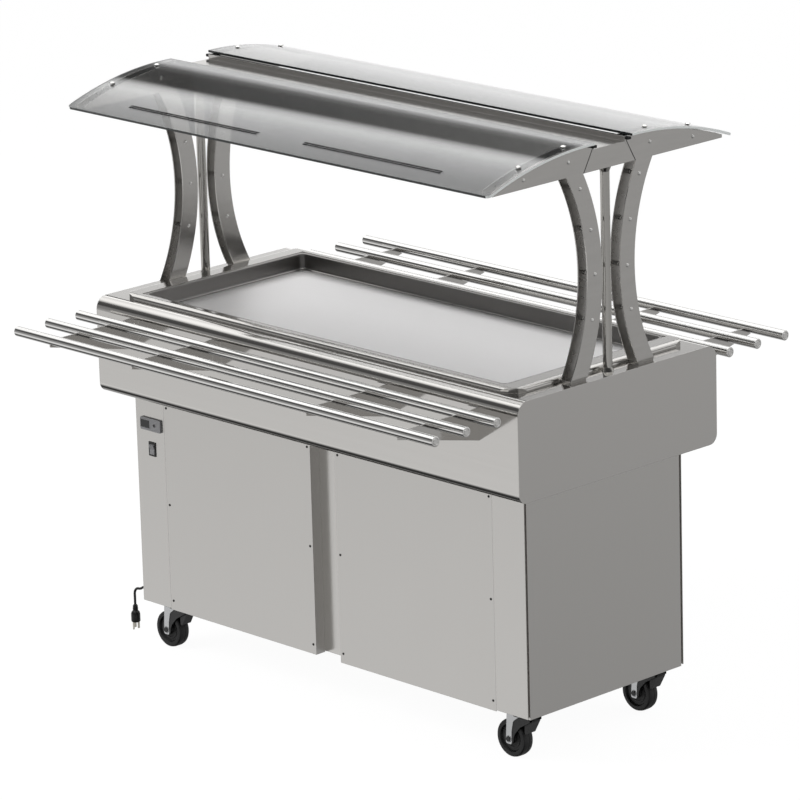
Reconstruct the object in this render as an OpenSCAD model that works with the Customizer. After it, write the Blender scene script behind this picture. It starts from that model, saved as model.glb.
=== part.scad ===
// Mobile salad bar: a chilled well in a casing, on a closed body with four castors,
// with tray rails on both long sides and a curved glass guard above the well.
// The origin is on the floor under the middle, and the controls are on the -Y side.

/* [Casing] */
// Length of the casing
casing_l = 1490; // [1400:10:1700]
// Width of the casing
casing_w = 682; // [660:1:740]
// Height of the casing
casing_h = 248; // [220:1:300]
// Height of the worktop above the floor
worktop_z = 935; // [885:5:965]
// Radius of the long edges of the worktop
casing_top_r = 32; // [20:1:34]
// Radius of the long edges under the casing
casing_low_r = 25; // [15:1:40]
// Thickness of the sheet steel
sheet_t = 1.5; // [1:0.1:2]

/* [Well] */
// Distance of the well from the ends of the casing
well_end_gap = 112; // [105:1:150]
// Distance of the well from the sides of the casing
well_side_gap = 73; // [71:0.5:90]
// Depth of the well's floor under the worktop
well_drop = 29; // [20:1:80]
// Height of the rim above the worktop
rim_h = 14; // [12:1:20]
// Width of the rim across the ends
rim_end_w = 50; // [40:1:50]
// Width of the rim along the sides
rim_side_w = 23.5; // [18:0.5:26]
// Radius of the rim's outer edge
rim_edge_r = 12; // [6:1:12]
// Size of the rim's faceted corners
rim_corner_r = 45; // [30:1:60]
// Width of the well pan's lip
lip_w = 9; // [6:0.5:12]
// Thickness of the foam round the well
foam_t = 25; // [20:1:40]
// Depth of the foam under the well
foam_low_t = 60; // [50:1:90]

/* [Cooling] */
// Radius of the refrigerant tube
coil_r = 4.75; // [3:0.25:6]
// Number of runs of the evaporator tube
coil_runs = 8; // [4:2:8]
// Distance of the evaporator's bends from the ends of the well
coil_end_gap = 133; // [120:1:200]
// Distance of the evaporator's outer runs from the sides of the well
coil_side_gap = 58; // [50:1:100]
// Radius of the compressor's shell
compressor_r = 88; // [70:1:100]
// Height of the compressor's shell
compressor_h = 190; // [150:5:220]
// Width of the condenser
condenser_l = 300; // [240:10:340]
// Height of the condenser
condenser_h = 260; // [220:10:320]
// Depth of the condenser
condenser_d = 48; // [30:1:60]
// Radius of the fan
fan_r = 100; // [70:1:105]
// Number of fan blades
fan_blades = 5; // [3:1:7]

/* [Body] */
// How far the body stands back under the ends of the casing
body_end_gap = 55; // [45:1:75]
// How far the body stands back under the sides of the casing
body_side_gap = 69; // [60:1:76]
// Height of the posts' lower ends above the floor
base_z = 127; // [124:1:145]
// How far the panels hang below the posts
panel_drop = 3; // [1:1:3]
// Width of a corner post
post_w = 106; // [80:1:130]
// Width of the groove between two panels
groove_w = 88; // [60:1:120]
// Depth of the groove between two panels
groove_d = 30; // [20:1:40]
// Width of the reveal beside the end panels
reveal_w = 8; // [4:1:12]
// Thickness of the base plate
base_t = 3; // [2:0.5:4]

/* [Controls] */
// Width of the thermostat
thermostat_w = 75; // [60:1:78]
// Height of the thermostat
thermostat_h = 33; // [28:1:40]
// How far the thermostat stands proud
thermostat_proud = 5; // [2:0.5:6]
// Width of the switch frame
switch_w = 25; // [20:1:30]
// Height of the switch frame
switch_h = 37; // [34:1:44]
// Radius of the push button
button_r = 3.5; // [2.5:0.5:5]
// Travel of the push button
button_travel = 1.2; // [0.5:0.1:2]

/* [Rails] */
// How much shorter than the casing the rails are at each end
rail_end_gap = 4; // [-40:1:40]
// How far the rails sit towards the end with the controls
rail_shift = 4; // [0:1:10]
// Radius of the rail tubes
rail_r = 12.7; // [10:0.1:14]
// Wall of the rail tubes
rail_wall = 1.5; // [1:0.1:2]
// Distance of the first tube from the casing
rail_gap = 59; // [50:1:80]
// Distance between the tubes
rail_pitch = 100; // [90:1:110]
// Depth of the tubes' axes under the worktop
rail_drop = 34.5; // [34:0.5:40]
// Height of the brackets at the casing
bracket_h = 80; // [60:1:100]
// Thickness of the brackets
bracket_t = 3; // [2:0.5:5]
// Distance of the outer brackets from the ends of the casing
bracket_end_gap = 128; // [90:1:180]
// Distance between an outer and an inner bracket
bracket_pitch = 306; // [260:1:360]
// Width of the bracket's flange on the casing
flange_w = 34; // [28:1:45]

/* [Guard] */
// Distance of the guard's posts from the ends of the casing
guard_end_gap = 19; // [17:1:25]
// Depth of a guard post along the length
guard_d = 33; // [28:1:33]
// Thickness of the cheek plates
cheek_t = 3; // [2:0.5:4]
// Height of the guard's wings above the worktop
wing_z = 498; // [480:1:560]
// Height of the wings themselves
wing_h = 64; // [60:1:70]
// Radius of the wings' top edge
wing_r = 918; // [900:2:960]
// Distance of the wing's tip from the middle
wing_reach = 389; // [380:1:392]
// Radius of the arc down the middle of a cheek
cheek_arc_r = 530; // [500:5:560]
// Width of a cheek across its arc
cheek_w = 50; // [40:1:60]
// Distance of the cheek's waist from the middle
waist_y = 55.3; // [50:0.1:60]
// Half width of the spine at its foot
spine_low = 88; // [84:1:90]
// Half width of the spine at its top
spine_top = 52; // [45:1:54]
// Height of the spine's closed part
spine_h = 52; // [46:1:54]
// Radius of the centre poles
pole_r = 11.5; // [8:0.5:12]

/* [Glass] */
// How far the glass passes the guard's posts
glass_over = 14; // [2:1:18]
// Thickness of the glass
glass_t = 6; // [4:0.5:8]
// Distance of the glass's inner edge from the middle
glass_in = 64; // [58:1:110]
// Distance of the glass's outer edge from the middle
glass_out = 413; // [400:1:420]
// Radius of the glass's upper face
glass_r = 912; // [900:4:960]
// Height of the glass's crown above the top of the wings
glass_rise = 7; // [7:0.5:12]
// Radius of the glass's outer corners
glass_corner_r = 12; // [6:1:30]

/* [Castors] */
// Distance of the swivel axes from the ends of the body
caster_end_gap = 72.5; // [65:0.5:120]
// Distance of the swivel axes from the sides of the body
caster_side_gap = 53; // [48:0.5:80]
// Distance of the axle from the swivel axis
trail = 25; // [20:1:30]
// Radius of the wheels
wheel_r = 48; // [45:0.5:49]
// Width of the wheels
wheel_w = 32; // [28:1:33]
// Radius of the axles
axle_r = 4; // [3:0.5:5]
// Width of the brake pedal
pedal_w = 29; // [24:1:30]

/* [Cord] */
// Diameter of the power cord
cord_d = 6.5; // [6:0.5:8]
// Radius of the plug's body
plug_r = 12; // [11:0.5:13]
// Length of the plug's body
plug_l = 46; // [43:1:50]

/* [Hidden] */
$fn = 64;

// Overrun of a cut past a face
over = 1;
// Gap between two pieces that only meet
fit_gap = 0.3;
// Radial clearance of a pin or shaft that turns in a hole
run_clear = 0.05;

// Levels and half sizes
casing_z = worktop_z - casing_h;
half_l = casing_l / 2;
half_w = casing_w / 2;
body_x = half_l - body_end_gap;
body_y = half_w - body_side_gap;
well_x = half_l - well_end_gap;
well_y = half_w - well_side_gap;
floor_z = worktop_z - well_drop;
rim_in_x = well_x + lip_w;
rim_in_y = well_y + lip_w;
rim_out_x = rim_in_x + rim_end_w;
rim_out_y = rim_in_y + rim_side_w;
// Step from the top of the rim down to the pan's lip
lip_step = 1;
lip_z = worktop_z + rim_h - lip_step;
// Clear way for pipes through the floor of the casing
duct_end_gap = 80;
duct_side_gap = 42;
duct_x = body_x - duct_end_gap;
duct_y = body_y - duct_side_gap;
panel_z = base_z - panel_drop;
// Gap over the panels
panel_top_gap = 2;
panel_top = casing_z - panel_top_gap;

// Foam and evaporator
foam_x = well_x + foam_t;
foam_y = well_y + foam_t;
foam_z = floor_z - foam_low_t;
coil_edge = 30;
coil_z = floor_z - sheet_t - coil_r - fit_gap;
coil_half_l = well_x - coil_end_gap;
coil_y = well_y - coil_side_gap;
coil_pitch = 2 * coil_y / (coil_runs - 1);
coil_tail = 20;
coil_end_x = coil_half_l + coil_tail;
pipe_stub = 5;
pipe_drop_z = foam_z - pipe_stub;

// Drain
drain_r = 12;
drain_wall = 1.5;
drain_end_gap = 70;
drain_side_gap = 63;
drain_x = -coil_half_l - drain_end_gap;
drain_y = -well_y + drain_side_gap;
drain_flange_r = 20;
drain_flange_t = 1.5;
drain_hang = 40;
drain_low_z = casing_z - drain_hang;
drain_cap_r = 15;
drain_cap_h = 18;

// Sheet pieces of the body
lap_w = 22;
side_leg = 50;
side_face_x = body_x - reveal_w;
panel_x0 = groove_w / 2;
panel_x1 = body_x - post_w;
end_panel_y = body_y - reveal_w;
// Air slots in the back panel that faces the condenser
slot_w = 200;
slot_h = 8;
slot_pitch = 22;
slot_rows = 11;
screw_r = 3.2;
screw_head = 1.6;
screw_l = 6;
screw_top_share = 0.7;
screw_inset = 10;
screw_end_gap = 25;

// Controls
control_in = 58.5;
control_x = -body_x + control_in;
thermostat_drop = 328.5;
thermostat_z = worktop_z - thermostat_drop;
thermostat_depth = 20;
thermostat_edge_r = 3;
display_w = 33;
display_h = 20;
display_shift = 19.5;
display_x = control_x - display_shift;
display_t = 2;
button_shift = 15;
button_x = control_x + button_shift;
button_l = 5;
button_out = 0.8;
switch_x = control_x;
switch_drop = 393.5;
switch_z = worktop_z - switch_drop;
switch_proud = 2;
switch_depth = 14;
switch_wall = 4;
rocker_w = switch_w - 2 * switch_wall;
rocker_room = 1.5;
rocker_h = switch_h - 2 * switch_wall - 2 * rocker_room;
rocker_tilt = 8;
rocker_pivot_in = 3;
rocker_pin_r = 1.5;
rocker_pin_l = 1.4;
rocker_tip = 4.6;
rocker_waist = 2.2;
rocker_back = 5;
rocker_back_share = 0.76;
rocker_clear = 0.5;

// Cord and plug; the route's points are chosen by hand, from the lower front corner of the body
gland_flange_r = 11;
gland_flange_t = 2;
gland_nut_r = 9;
gland_nut_t = 4;
gland_tip_wall = 1;
cord_steps = [
  [-26, 27, 20], [-31, 27, 20], [-35, 27, 18], [-40, 27, 15], [-45, 27, 13], [-50, 27, 12],
  [-56, 27, 11], [-61, 27, 8], [-65, 27, 3], [-67, 27, -4], [-67, 27, -12], [-67, 27, -20],
  [-67, 27, -28], [-67, 27, -35]
];
cord_route = [for (step = cord_steps) [step[0] - body_x, step[1] - body_y, step[2] + base_z]];
cord_sides = 10;
cord_start = cord_route[0];
cord_end = cord_route[len(cord_route) - 1];
plug_neck_r = 5;
plug_neck_l = 14;
plug_shoulder_l = 8;
plug_edge = 2;
plug_groove_w = 1.6;
plug_groove_pitch = 3.5;
blade_w = 6.3;
blade_t = 1.5;
blade_l = 17.5;
blade_x = 6.35;
blade_y = 3.5;
ground_r = 2.4;
ground_l = 20;
ground_y = -8.2;
pin_root = 8;

// Rails and brackets
rail_half_l = half_l - rail_end_gap;
bracket_outer_x = half_l - bracket_end_gap;
bracket_inner_x = bracket_outer_x - bracket_pitch;
rail_ys = [for (i = [0 : 2]) half_w + rail_gap + i * rail_pitch];
rail_z = worktop_z - rail_drop;
cap_t = 3;
cap_plug = 12;
bracket_top_gap = 1;
bracket_top = worktop_z - casing_top_r - bracket_top_gap;
bracket_end_drop = 5;
bolt_r = 4;
bolt_head_r = 6;
bolt_head_t = 4;
bolt_inset = 16;

// Guard
cheek_y = waist_y + cheek_arc_r;
cheek_mid_z = worktop_z + wing_z / 2;
foot_t = 5;
foot_in = 3;
wing_top = worktop_z + wing_z + wing_h;
wing_mid_y = 73;
spine_z = worktop_z + wing_z;
seam_top = spine_z + spine_h;
spacer_r = 6;
spacer_head_r = 4.5;
spacer_head_t = 2.5;
spacer_step_angle = 11.9;
spacer_start_angle = -11.8;
spacer_count = 4;
wing_spacer_in_y = 138;
wing_spacer_in_z = 36;
wing_spacer_out_y = 287;
wing_spacer_out_z = 21.5;
wing_spacers = [[wing_spacer_in_y, wing_spacer_in_z], [wing_spacer_out_y, wing_spacer_out_z]];
guard_x = half_l - guard_end_gap;
guard_in = guard_x - guard_d;
guard_mid = guard_x - guard_d / 2;
pole_foot_r = 15;
pole_foot_h = 10;
pole_collar_r = 16;
pole_collar_h = 12;

// Glass
glass_half_l = guard_x + glass_over;
glass_mid_y = 80;
glass_top = wing_top + glass_rise;
stud_r = 4;
stud_head_r = 7;
stud_head_t = 4;
stud_collar_t = 3;

// Fan unit
condenser_x = 250;
condenser_gap = 70;
condenser_y = body_y - condenser_gap - condenser_d;
condenser_lift = 20;
condenser_z = base_z + base_t + condenser_lift;
fan_z = condenser_z + condenser_h / 2;
fan_gap = 16;
fan_y = condenser_y - fan_gap;
fan_hub_r = 22;
fan_hub_l = 24;
fan_blade_t = 2;
fan_pitch = 28;
fan_chord = 70;
motor_r = 38;
motor_l = 70;
motor_shaft_r = 4;
motor_gap = 4;
motor_foot_w = 50;
motor_foot_t = 4;
shroud_t = 2;
shroud_l = 30;
fin_t = 1.5;
fin_pitch = 12;
header_w = 14;
compressor_x = -330;
compressor_foot_l = 230;
compressor_foot_w = 170;
compressor_foot_t = 4;
mount_r = 11;
mount_h = 18;
compressor_dome = 40;
dome_share = 1.2;
stub_l = 22;
// Radius of an elbow over that of its tube
elbow_share = 1.3;

// Castors
plate_l = 100;
plate_w = 84;
plate_t = 3;
race_r = 26;
race_t = 6.7;
fork_race_t = 7;
fork_t = 2.5;
fork_gap = 2.5;
leg_y = wheel_w / 2 + fork_gap;
leg_r = 15;
kingpin_r = 5;
kingpin_head_r = 8;
kingpin_head_t = 4.5;
axle_head_r = 7;
axle_head_t = 4;
hub_r = 15;
dish_d = 6;
tyre_t = 12;
tyre_edge_r = 3;
pedal_pin_r = 2.5;
pedal_pin_shares = [1.08, 1.12];
pedal_pin = pedal_pin_shares * wheel_r;
// Outline of a fork leg from the axle: shares of the wheel's radius and of the crown's height
leg_shares = [
  [-0.32, 0], [-0.32, 0.07], [-0.17, 0.5], [-0.13, 1], [1.45, 1],
  [1.45, 0.9], [0.8, 0.6], [0.42, 0.27], [0.32, 0.07], [0.32, 0]
];
// Outline of the brake pedal from the axle, in shares of the wheel's radius
pedal_shares = [
  [0.98, 1.15], [1, 1.2], [1.25, 1.21], [1.5, 1.21], [1.5, 1.14], [1.13, 0.47],
  [1.02, 0.43], [0.98, 0.52]
];
crown_share = 1.28;
caster_x = body_x - caster_end_gap;
caster_y = body_y - caster_side_gap;
caster_plate_z = base_z - plate_t;
crown_z = caster_plate_z - race_t - fit_gap - fork_race_t;
crown_rise = crown_z - wheel_r;
plate_bolt_r = 6;
plate_bolt_t = 4.5;
plate_bolt_in = 10;

// Box between two corners
module slab(low, high) {
  translate(low) cube(high - low);
}

// Outline in Y and Z, drawn out along X about the middle
module along_x(length) {
  translate([-length / 2, 0, 0]) rotate([90, 0, 90]) linear_extrude(length) children();
}

// Outline in X and Z, drawn out along Y about the middle
module along_y(length) {
  translate([0, length / 2, 0]) rotate([90, 0, 0]) linear_extrude(length) children();
}

module both_ends() {
  children();
  mirror([1, 0, 0]) children();
}

module both_sides() {
  children();
  mirror([0, 1, 0]) children();
}

// Rod between two points
module rod(from, to, r) {
  run = to - from;
  length = norm(run);
  translate(from) rotate([0, acos(run[2] / length), atan2(run[1], run[0])])
    cylinder(h = length, r = r);
}

// Tube through a list of points, with an elbow fitting at each bend
module bent_rod(points, r) {
  for (i = [0 : len(points) - 2]) rod(points[i], points[i + 1], r);
  for (i = [1 : len(points) - 2]) translate(points[i]) sphere(r * elbow_share);
}

// Bar outline with round upper and lower corners
module round_bar(w, h, top_r, low_r) {
  translate([-w / 2, low_r]) square([w, h - top_r - low_r]);
  translate([-w / 2 + low_r, 0]) square([w - 2 * low_r, low_r]);
  translate([-w / 2 + top_r, h - top_r]) square([w - 2 * top_r, top_r]);
  for (side = [-1, 1]) {
    translate([side * (w / 2 - top_r), h - top_r]) circle(top_r);
    translate([side * (w / 2 - low_r), low_r]) circle(low_r);
  }
}

module casing_outline(inset) {
  translate([0, casing_z + inset])
    round_bar(casing_w - 2 * inset, casing_h - 2 * inset, casing_top_r - inset, casing_low_r - inset);
}

module casing_skin() {
  color("silver") difference() {
    along_x(casing_l - 2 * sheet_t) casing_outline(0);
    along_x(casing_l) casing_outline(sheet_t);
    slab([-rim_in_x, -rim_in_y, worktop_z - casing_top_r], [rim_in_x, rim_in_y, worktop_z + over]);
    slab([-duct_x, -duct_y, casing_z - over], [duct_x, duct_y, casing_z + casing_low_r]);
  }
}

module casing_ends() {
  color("silver") both_ends()
    translate([half_l - sheet_t / 2, 0, 0]) along_x(sheet_t) casing_outline(0);
}

// Bar outline with a quarter round on its upper corners
module rim_profile(half) {
  translate([-half, 0]) square([2 * half, rim_h - rim_edge_r]);
  translate([-half + rim_edge_r, 0]) square([2 * (half - rim_edge_r), rim_h]);
  for (side = [-1, 1])
    translate([side * (half - rim_edge_r), rim_h - rim_edge_r]) circle(rim_edge_r);
}

module well_rim() {
  corner_x = rim_out_x - rim_corner_r;
  corner_y = rim_out_y - rim_corner_r;
  color("silver") difference() {
    intersection() {
      translate([0, 0, worktop_z]) along_x(2 * rim_out_x) rim_profile(rim_out_y);
      translate([0, 0, worktop_z]) along_y(2 * rim_out_y) rim_profile(rim_out_x);
      translate([0, 0, worktop_z]) linear_extrude(rim_h) {
        translate([-rim_out_x, -corner_y]) square([2 * rim_out_x, 2 * corner_y]);
        translate([-corner_x, -rim_out_y]) square([2 * corner_x, 2 * rim_out_y]);
        for (sx = [-1, 1], sy = [-1, 1])
          translate([sx * corner_x, sy * corner_y]) circle(rim_corner_r, $fn = 12);
      }
    }
    slab([-rim_in_x, -rim_in_y, worktop_z - over], [rim_in_x, rim_in_y, worktop_z + rim_h + over]);
  }
}

module well_pan() {
  under = worktop_z - sheet_t;
  lip_x = rim_in_x - fit_gap;
  lip_y = rim_in_y - fit_gap;
  wall_x = well_x + sheet_t;
  wall_y = well_y + sheet_t;
  color("gainsboro") difference() {
    union() {
      slab([-wall_x, -wall_y, floor_z - sheet_t], [wall_x, wall_y, lip_z]);
      difference() {
        slab([-lip_x, -lip_y, under], [lip_x, lip_y, lip_z]);
        slab([-lip_x + sheet_t, -lip_y + sheet_t, under - over],
          [lip_x - sheet_t, lip_y - sheet_t, lip_z - sheet_t]);
      }
    }
    slab([-well_x, -well_y, floor_z], [well_x, well_y, lip_z + over]);
    translate([drain_x, drain_y, floor_z - sheet_t - over])
      cylinder(h = sheet_t + 2 * over, r = drain_r + run_clear);
  }
}

module insulation() {
  wall_x = well_x + sheet_t;
  wall_y = well_y + sheet_t;
  recess_x = well_x - coil_edge;
  recess_y = well_y - coil_edge;
  top = worktop_z - sheet_t;
  color("lightyellow") difference() {
    slab([-foam_x, -foam_y, foam_z], [foam_x, foam_y, top]);
    slab([-wall_x, -wall_y, floor_z - sheet_t], [wall_x, wall_y, top + over]);
    slab([-recess_x, -recess_y, coil_z - coil_r - fit_gap], [recess_x, recess_y, floor_z]);
    translate([drain_x, drain_y, foam_z - over]) cylinder(h = foam_low_t, r = drain_r + fit_gap);
    for (side = [-1, 1])
      translate([coil_end_x, side * coil_y, foam_z - over]) cylinder(h = foam_low_t, r = coil_r + fit_gap);
  }
}

module evaporator_coil() {
  color("peru") {
    for (i = [0 : coil_runs - 1]) {
      long_end = i == 0 || i == coil_runs - 1 ? coil_end_x : coil_half_l;
      y = i * coil_pitch - coil_y;
      rod([-coil_half_l, y, coil_z], [long_end, y, coil_z], coil_r);
    }
    for (i = [0 : coil_runs - 2]) {
      end = i % 2 == 0 ? -1 : 1;
      translate([end * coil_half_l, (2 * i + 1) * coil_pitch / 2 - coil_y, coil_z])
        intersection() {
          rotate_extrude() translate([coil_pitch / 2, 0]) circle(coil_r);
          slab([min(0, end * coil_pitch), -coil_pitch, -coil_r],
            [max(0, end * coil_pitch), coil_pitch, coil_r]);
        }
    }
    for (side = [-1, 1]) {
      translate([coil_end_x, side * coil_y, coil_z]) sphere(coil_r);
      rod([coil_end_x, side * coil_y, pipe_drop_z], [coil_end_x, side * coil_y, coil_z], coil_r);
    }
  }
}

module drain_pipe() {
  color("silver") translate([drain_x, drain_y, 0]) {
    difference() {
      union() {
        translate([0, 0, drain_low_z]) cylinder(h = floor_z - drain_low_z, r = drain_r);
        translate([0, 0, floor_z - sheet_t - drain_flange_t])
          cylinder(h = drain_flange_t, r = drain_flange_r);
      }
      translate([0, 0, drain_low_z - over])
        cylinder(h = floor_z - drain_low_z + 2 * over, r = drain_r - drain_wall);
    }
    translate([0, 0, drain_low_z - drain_cap_h / 2]) difference() {
      cylinder(h = drain_cap_h, r = drain_cap_r);
      translate([0, 0, drain_cap_h / 2]) cylinder(h = drain_cap_h, r = drain_r + run_clear);
    }
  }
}

module base_plate() {
  inner_y = body_y - 2 * sheet_t;
  notch_x = panel_x0 + 2 * sheet_t;
  inner_x = side_face_x - sheet_t;
  color("darkgray") difference() {
    slab([-inner_x, -inner_y, base_z], [inner_x, inner_y, base_z + base_t]);
    both_sides()
      slab([-notch_x, body_y - groove_d - sheet_t, base_z - over], [notch_x, body_y, base_z + base_t + over]);
  }
}

// Places of the screws on one panel, along X and Z
function screw_places() = [
  for (x = [panel_x0 + screw_inset, panel_x1 - screw_inset])
    for (z = [panel_z + screw_end_gap, (panel_z + panel_top) / 2, panel_top - screw_end_gap]) [x, z]
];

// Holes for the screws of the panel on the +X and +Y quarter
module screw_holes() {
  for (place = screw_places())
    translate([place[0], body_y + over, place[1]]) rotate([90, 0, 0])
      cylinder(h = 2 * sheet_t + 2 * over, r = screw_r / 2);
}

// Folded corner post with a lap behind the panel, at the +X and +Y corner
module corner_post() {
  slab([side_face_x - sheet_t, body_y - side_leg, base_z], [side_face_x, body_y, casing_z]);
  difference() {
    union() {
      slab([panel_x1, body_y - sheet_t, base_z], [body_x, body_y, casing_z]);
      slab([panel_x1 - lap_w, body_y - 2 * sheet_t, base_z],
        [panel_x1 + lap_w, body_y - sheet_t, casing_z]);
    }
    screw_holes();
  }
}

module post_front_left() {
  // The seats of the controls clear what passes through them
  thermostat_x = thermostat_w / 2 - thermostat_edge_r;
  thermostat_y = thermostat_h / 2 - thermostat_edge_r;
  seat_x = switch_w / 2 - switch_proud;
  seat_y = switch_h / 2 - switch_proud;
  color("silver") difference() {
    mirror([1, 0, 0]) mirror([0, 1, 0]) corner_post();
    slab([control_x - thermostat_x, -body_y - over, thermostat_z - thermostat_y],
      [control_x + thermostat_x, -body_y + 3 * sheet_t, thermostat_z + thermostat_y]);
    slab([switch_x - seat_x, -body_y - over, switch_z - seat_y],
      [switch_x + seat_x, -body_y + 3 * sheet_t, switch_z + seat_y]);
  }
}

module post_front_right() {
  color("silver") mirror([0, 1, 0]) corner_post();
}

module posts_back() {
  color("silver") both_ends() corner_post();
}

// Channel behind the groove, open to the outside
module centre_channels() {
  leg_x = panel_x0 + sheet_t;
  back_y = body_y - groove_d;
  color("silver") both_sides() {
    slab([-leg_x - sheet_t, back_y - sheet_t, base_z], [leg_x + sheet_t, back_y, casing_z]);
    both_ends() {
      slab([leg_x, back_y - sheet_t, base_z], [leg_x + sheet_t, body_y - sheet_t, casing_z]);
      difference() {
        slab([leg_x, body_y - 2 * sheet_t, base_z], [leg_x + lap_w, body_y - sheet_t, casing_z]);
        screw_holes();
      }
    }
  }
}

// Panel on the +X and +Y quarter, with its return into the groove
module side_panel() {
  difference() {
    union() {
      slab([panel_x0, body_y - sheet_t, panel_z], [panel_x1 - fit_gap, body_y, panel_top]);
      slab([panel_x0, body_y - groove_d, panel_z], [panel_x0 + sheet_t, body_y, panel_top]);
    }
    screw_holes();
  }
}

module panel_front_left() {
  color("silver") mirror([1, 0, 0]) mirror([0, 1, 0]) side_panel();
}

module panel_front_right() {
  color("silver") mirror([0, 1, 0]) side_panel();
}

module panels_back() {
  color("silver") {
    mirror([1, 0, 0]) side_panel();
    difference() {
      side_panel();
      for (i = [0 : slot_rows - 1])
        translate([condenser_x, body_y, fan_z + (i - (slot_rows - 1) / 2) * slot_pitch])
          cube([slot_w, 4 * sheet_t, slot_h], center = true);
    }
  }
}

module end_panels() {
  color("silver") both_ends() {
    slab([body_x - sheet_t, -end_panel_y, panel_z], [body_x, end_panel_y, panel_top]);
    both_sides()
      slab([side_face_x, end_panel_y - sheet_t, panel_z], [body_x, end_panel_y, panel_top]);
  }
}

module panel_screws() {
  color("dimgray") both_ends() both_sides() for (place = screw_places())
    translate([place[0], body_y, place[1]]) rotate([90, 0, 0]) {
      translate([0, 0, -screw_head]) cylinder(h = screw_head, r1 = screw_r * screw_top_share, r2 = screw_r);
      cylinder(h = screw_l, r = screw_r / 2 - run_clear);
    }
}

module thermostat_housing() {
  inner_x = thermostat_w / 2 - thermostat_edge_r - fit_gap;
  inner_z = thermostat_h / 2 - thermostat_edge_r - fit_gap;
  face_y = -body_y - thermostat_proud;
  color("gray") difference() {
    union() {
      translate([control_x, -body_y - thermostat_proud / 2, thermostat_z - thermostat_h / 2])
        along_y(thermostat_proud) round_bar(thermostat_w, thermostat_h, thermostat_edge_r, thermostat_edge_r);
      slab([control_x - inner_x, -body_y, thermostat_z - inner_z],
        [control_x + inner_x, -body_y + thermostat_depth, thermostat_z + inner_z]);
    }
    slab([display_x - display_w / 2 - run_clear, face_y - over, thermostat_z - display_h / 2 - run_clear],
      [display_x + display_w / 2 + run_clear, face_y + display_t, thermostat_z + display_h / 2 + run_clear]);
    translate([button_x, face_y - over, thermostat_z]) rotate([-90, 0, 0])
      cylinder(h = over + button_l - button_out + button_travel + fit_gap, r = button_r + run_clear);
  }
}

module thermostat_display() {
  face_y = -body_y - thermostat_proud;
  color("black")
    slab([display_x - display_w / 2, face_y, thermostat_z - display_h / 2],
      [display_x + display_w / 2, face_y + display_t, thermostat_z + display_h / 2]);
}

module thermostat_button() {
  face_y = -body_y - thermostat_proud;
  color("black") translate([button_x, face_y - button_out, thermostat_z]) rotate([-90, 0, 0])
    cylinder(h = button_l, r = button_r);
}

module switch_frame() {
  hole_x = rocker_w / 2 + rocker_clear;
  hole_z = rocker_h / 2 + rocker_room;
  inner_x = switch_w / 2 - switch_proud - fit_gap;
  inner_z = switch_h / 2 - switch_proud - fit_gap;
  color("dimgray") difference() {
    union() {
      slab([switch_x - switch_w / 2, -body_y - switch_proud, switch_z - switch_h / 2],
        [switch_x + switch_w / 2, -body_y, switch_z + switch_h / 2]);
      slab([switch_x - inner_x, -body_y, switch_z - inner_z],
        [switch_x + inner_x, -body_y + switch_depth, switch_z + inner_z]);
    }
    slab([switch_x - hole_x, -body_y - switch_proud - over, switch_z - hole_z],
      [switch_x + hole_x, -body_y + switch_depth - switch_proud, switch_z + hole_z]);
    translate([switch_x, -body_y + rocker_pivot_in, switch_z]) rotate([0, 90, 0])
      cylinder(h = 2 * (inner_x + over), r = rocker_pin_r + run_clear, center = true);
  }
}

module rocker() {
  half = rocker_h / 2;
  back = half * rocker_back_share;
  tip = rocker_tip + rocker_pivot_in;
  waist = rocker_waist + rocker_pivot_in;
  color("black") translate([switch_x, -body_y + rocker_pivot_in, switch_z]) {
    rotate([rocker_tilt, 0, 0]) along_x(rocker_w)
      polygon([[-tip, -half], [-waist, 0], [-tip, half], [0, half], [rocker_back, back],
        [rocker_back, -back], [0, -half]]);
    rotate([0, 90, 0]) cylinder(h = rocker_w + 2 * rocker_pin_l, r = rocker_pin_r, center = true);
  }
}

module cord_gland() {
  flange_x = -body_x - gland_flange_t;
  nut_x = flange_x - gland_nut_t;
  color("black") translate([0, cord_start[1], cord_start[2]]) {
    rod([-body_x, 0, 0], [flange_x, 0, 0], gland_flange_r);
    rod([flange_x, 0, 0], [nut_x, 0, 0], gland_nut_r);
    translate([nut_x, 0, 0]) rotate([0, -90, 0])
      cylinder(h = nut_x - cord_start[0], r1 = gland_nut_r - gland_tip_wall,
        r2 = cord_d / 2 + gland_tip_wall);
  }
}

// Direction of the cord's route at one of its points
function cord_run(i) = let (
  step = cord_route[min(i + 1, len(cord_route) - 1)] - cord_route[max(i - 1, 0)]
) step / norm(step);

// Ring of points round the cord's route at one of its points
function cord_ring(i) = let (across = [0, 1, 0], up = cross(cord_run(i), across)) [
  for (k = [0 : cord_sides - 1]) let (a = 360 * k / cord_sides)
    cord_route[i] + cord_d / 2 * (cos(a) * across + sin(a) * up)
];

module power_cord() {
  rings = len(cord_route);
  points = [for (i = [0 : rings - 1]) each cord_ring(i)];
  sides = [for (i = [0 : rings - 2]) for (k = [0 : cord_sides - 1]) let (
    a = i * cord_sides + k,
    b = i * cord_sides + (k + 1) % cord_sides
  ) each [[a, b, b + cord_sides], [a, b + cord_sides, a + cord_sides]]];
  first = [[for (k = [cord_sides - 1 : -1 : 0]) k]];
  last = [[for (k = [0 : cord_sides - 1]) (rings - 1) * cord_sides + k]];
  color("black") polyhedron(points, concat(sides, first, last));
}

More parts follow.
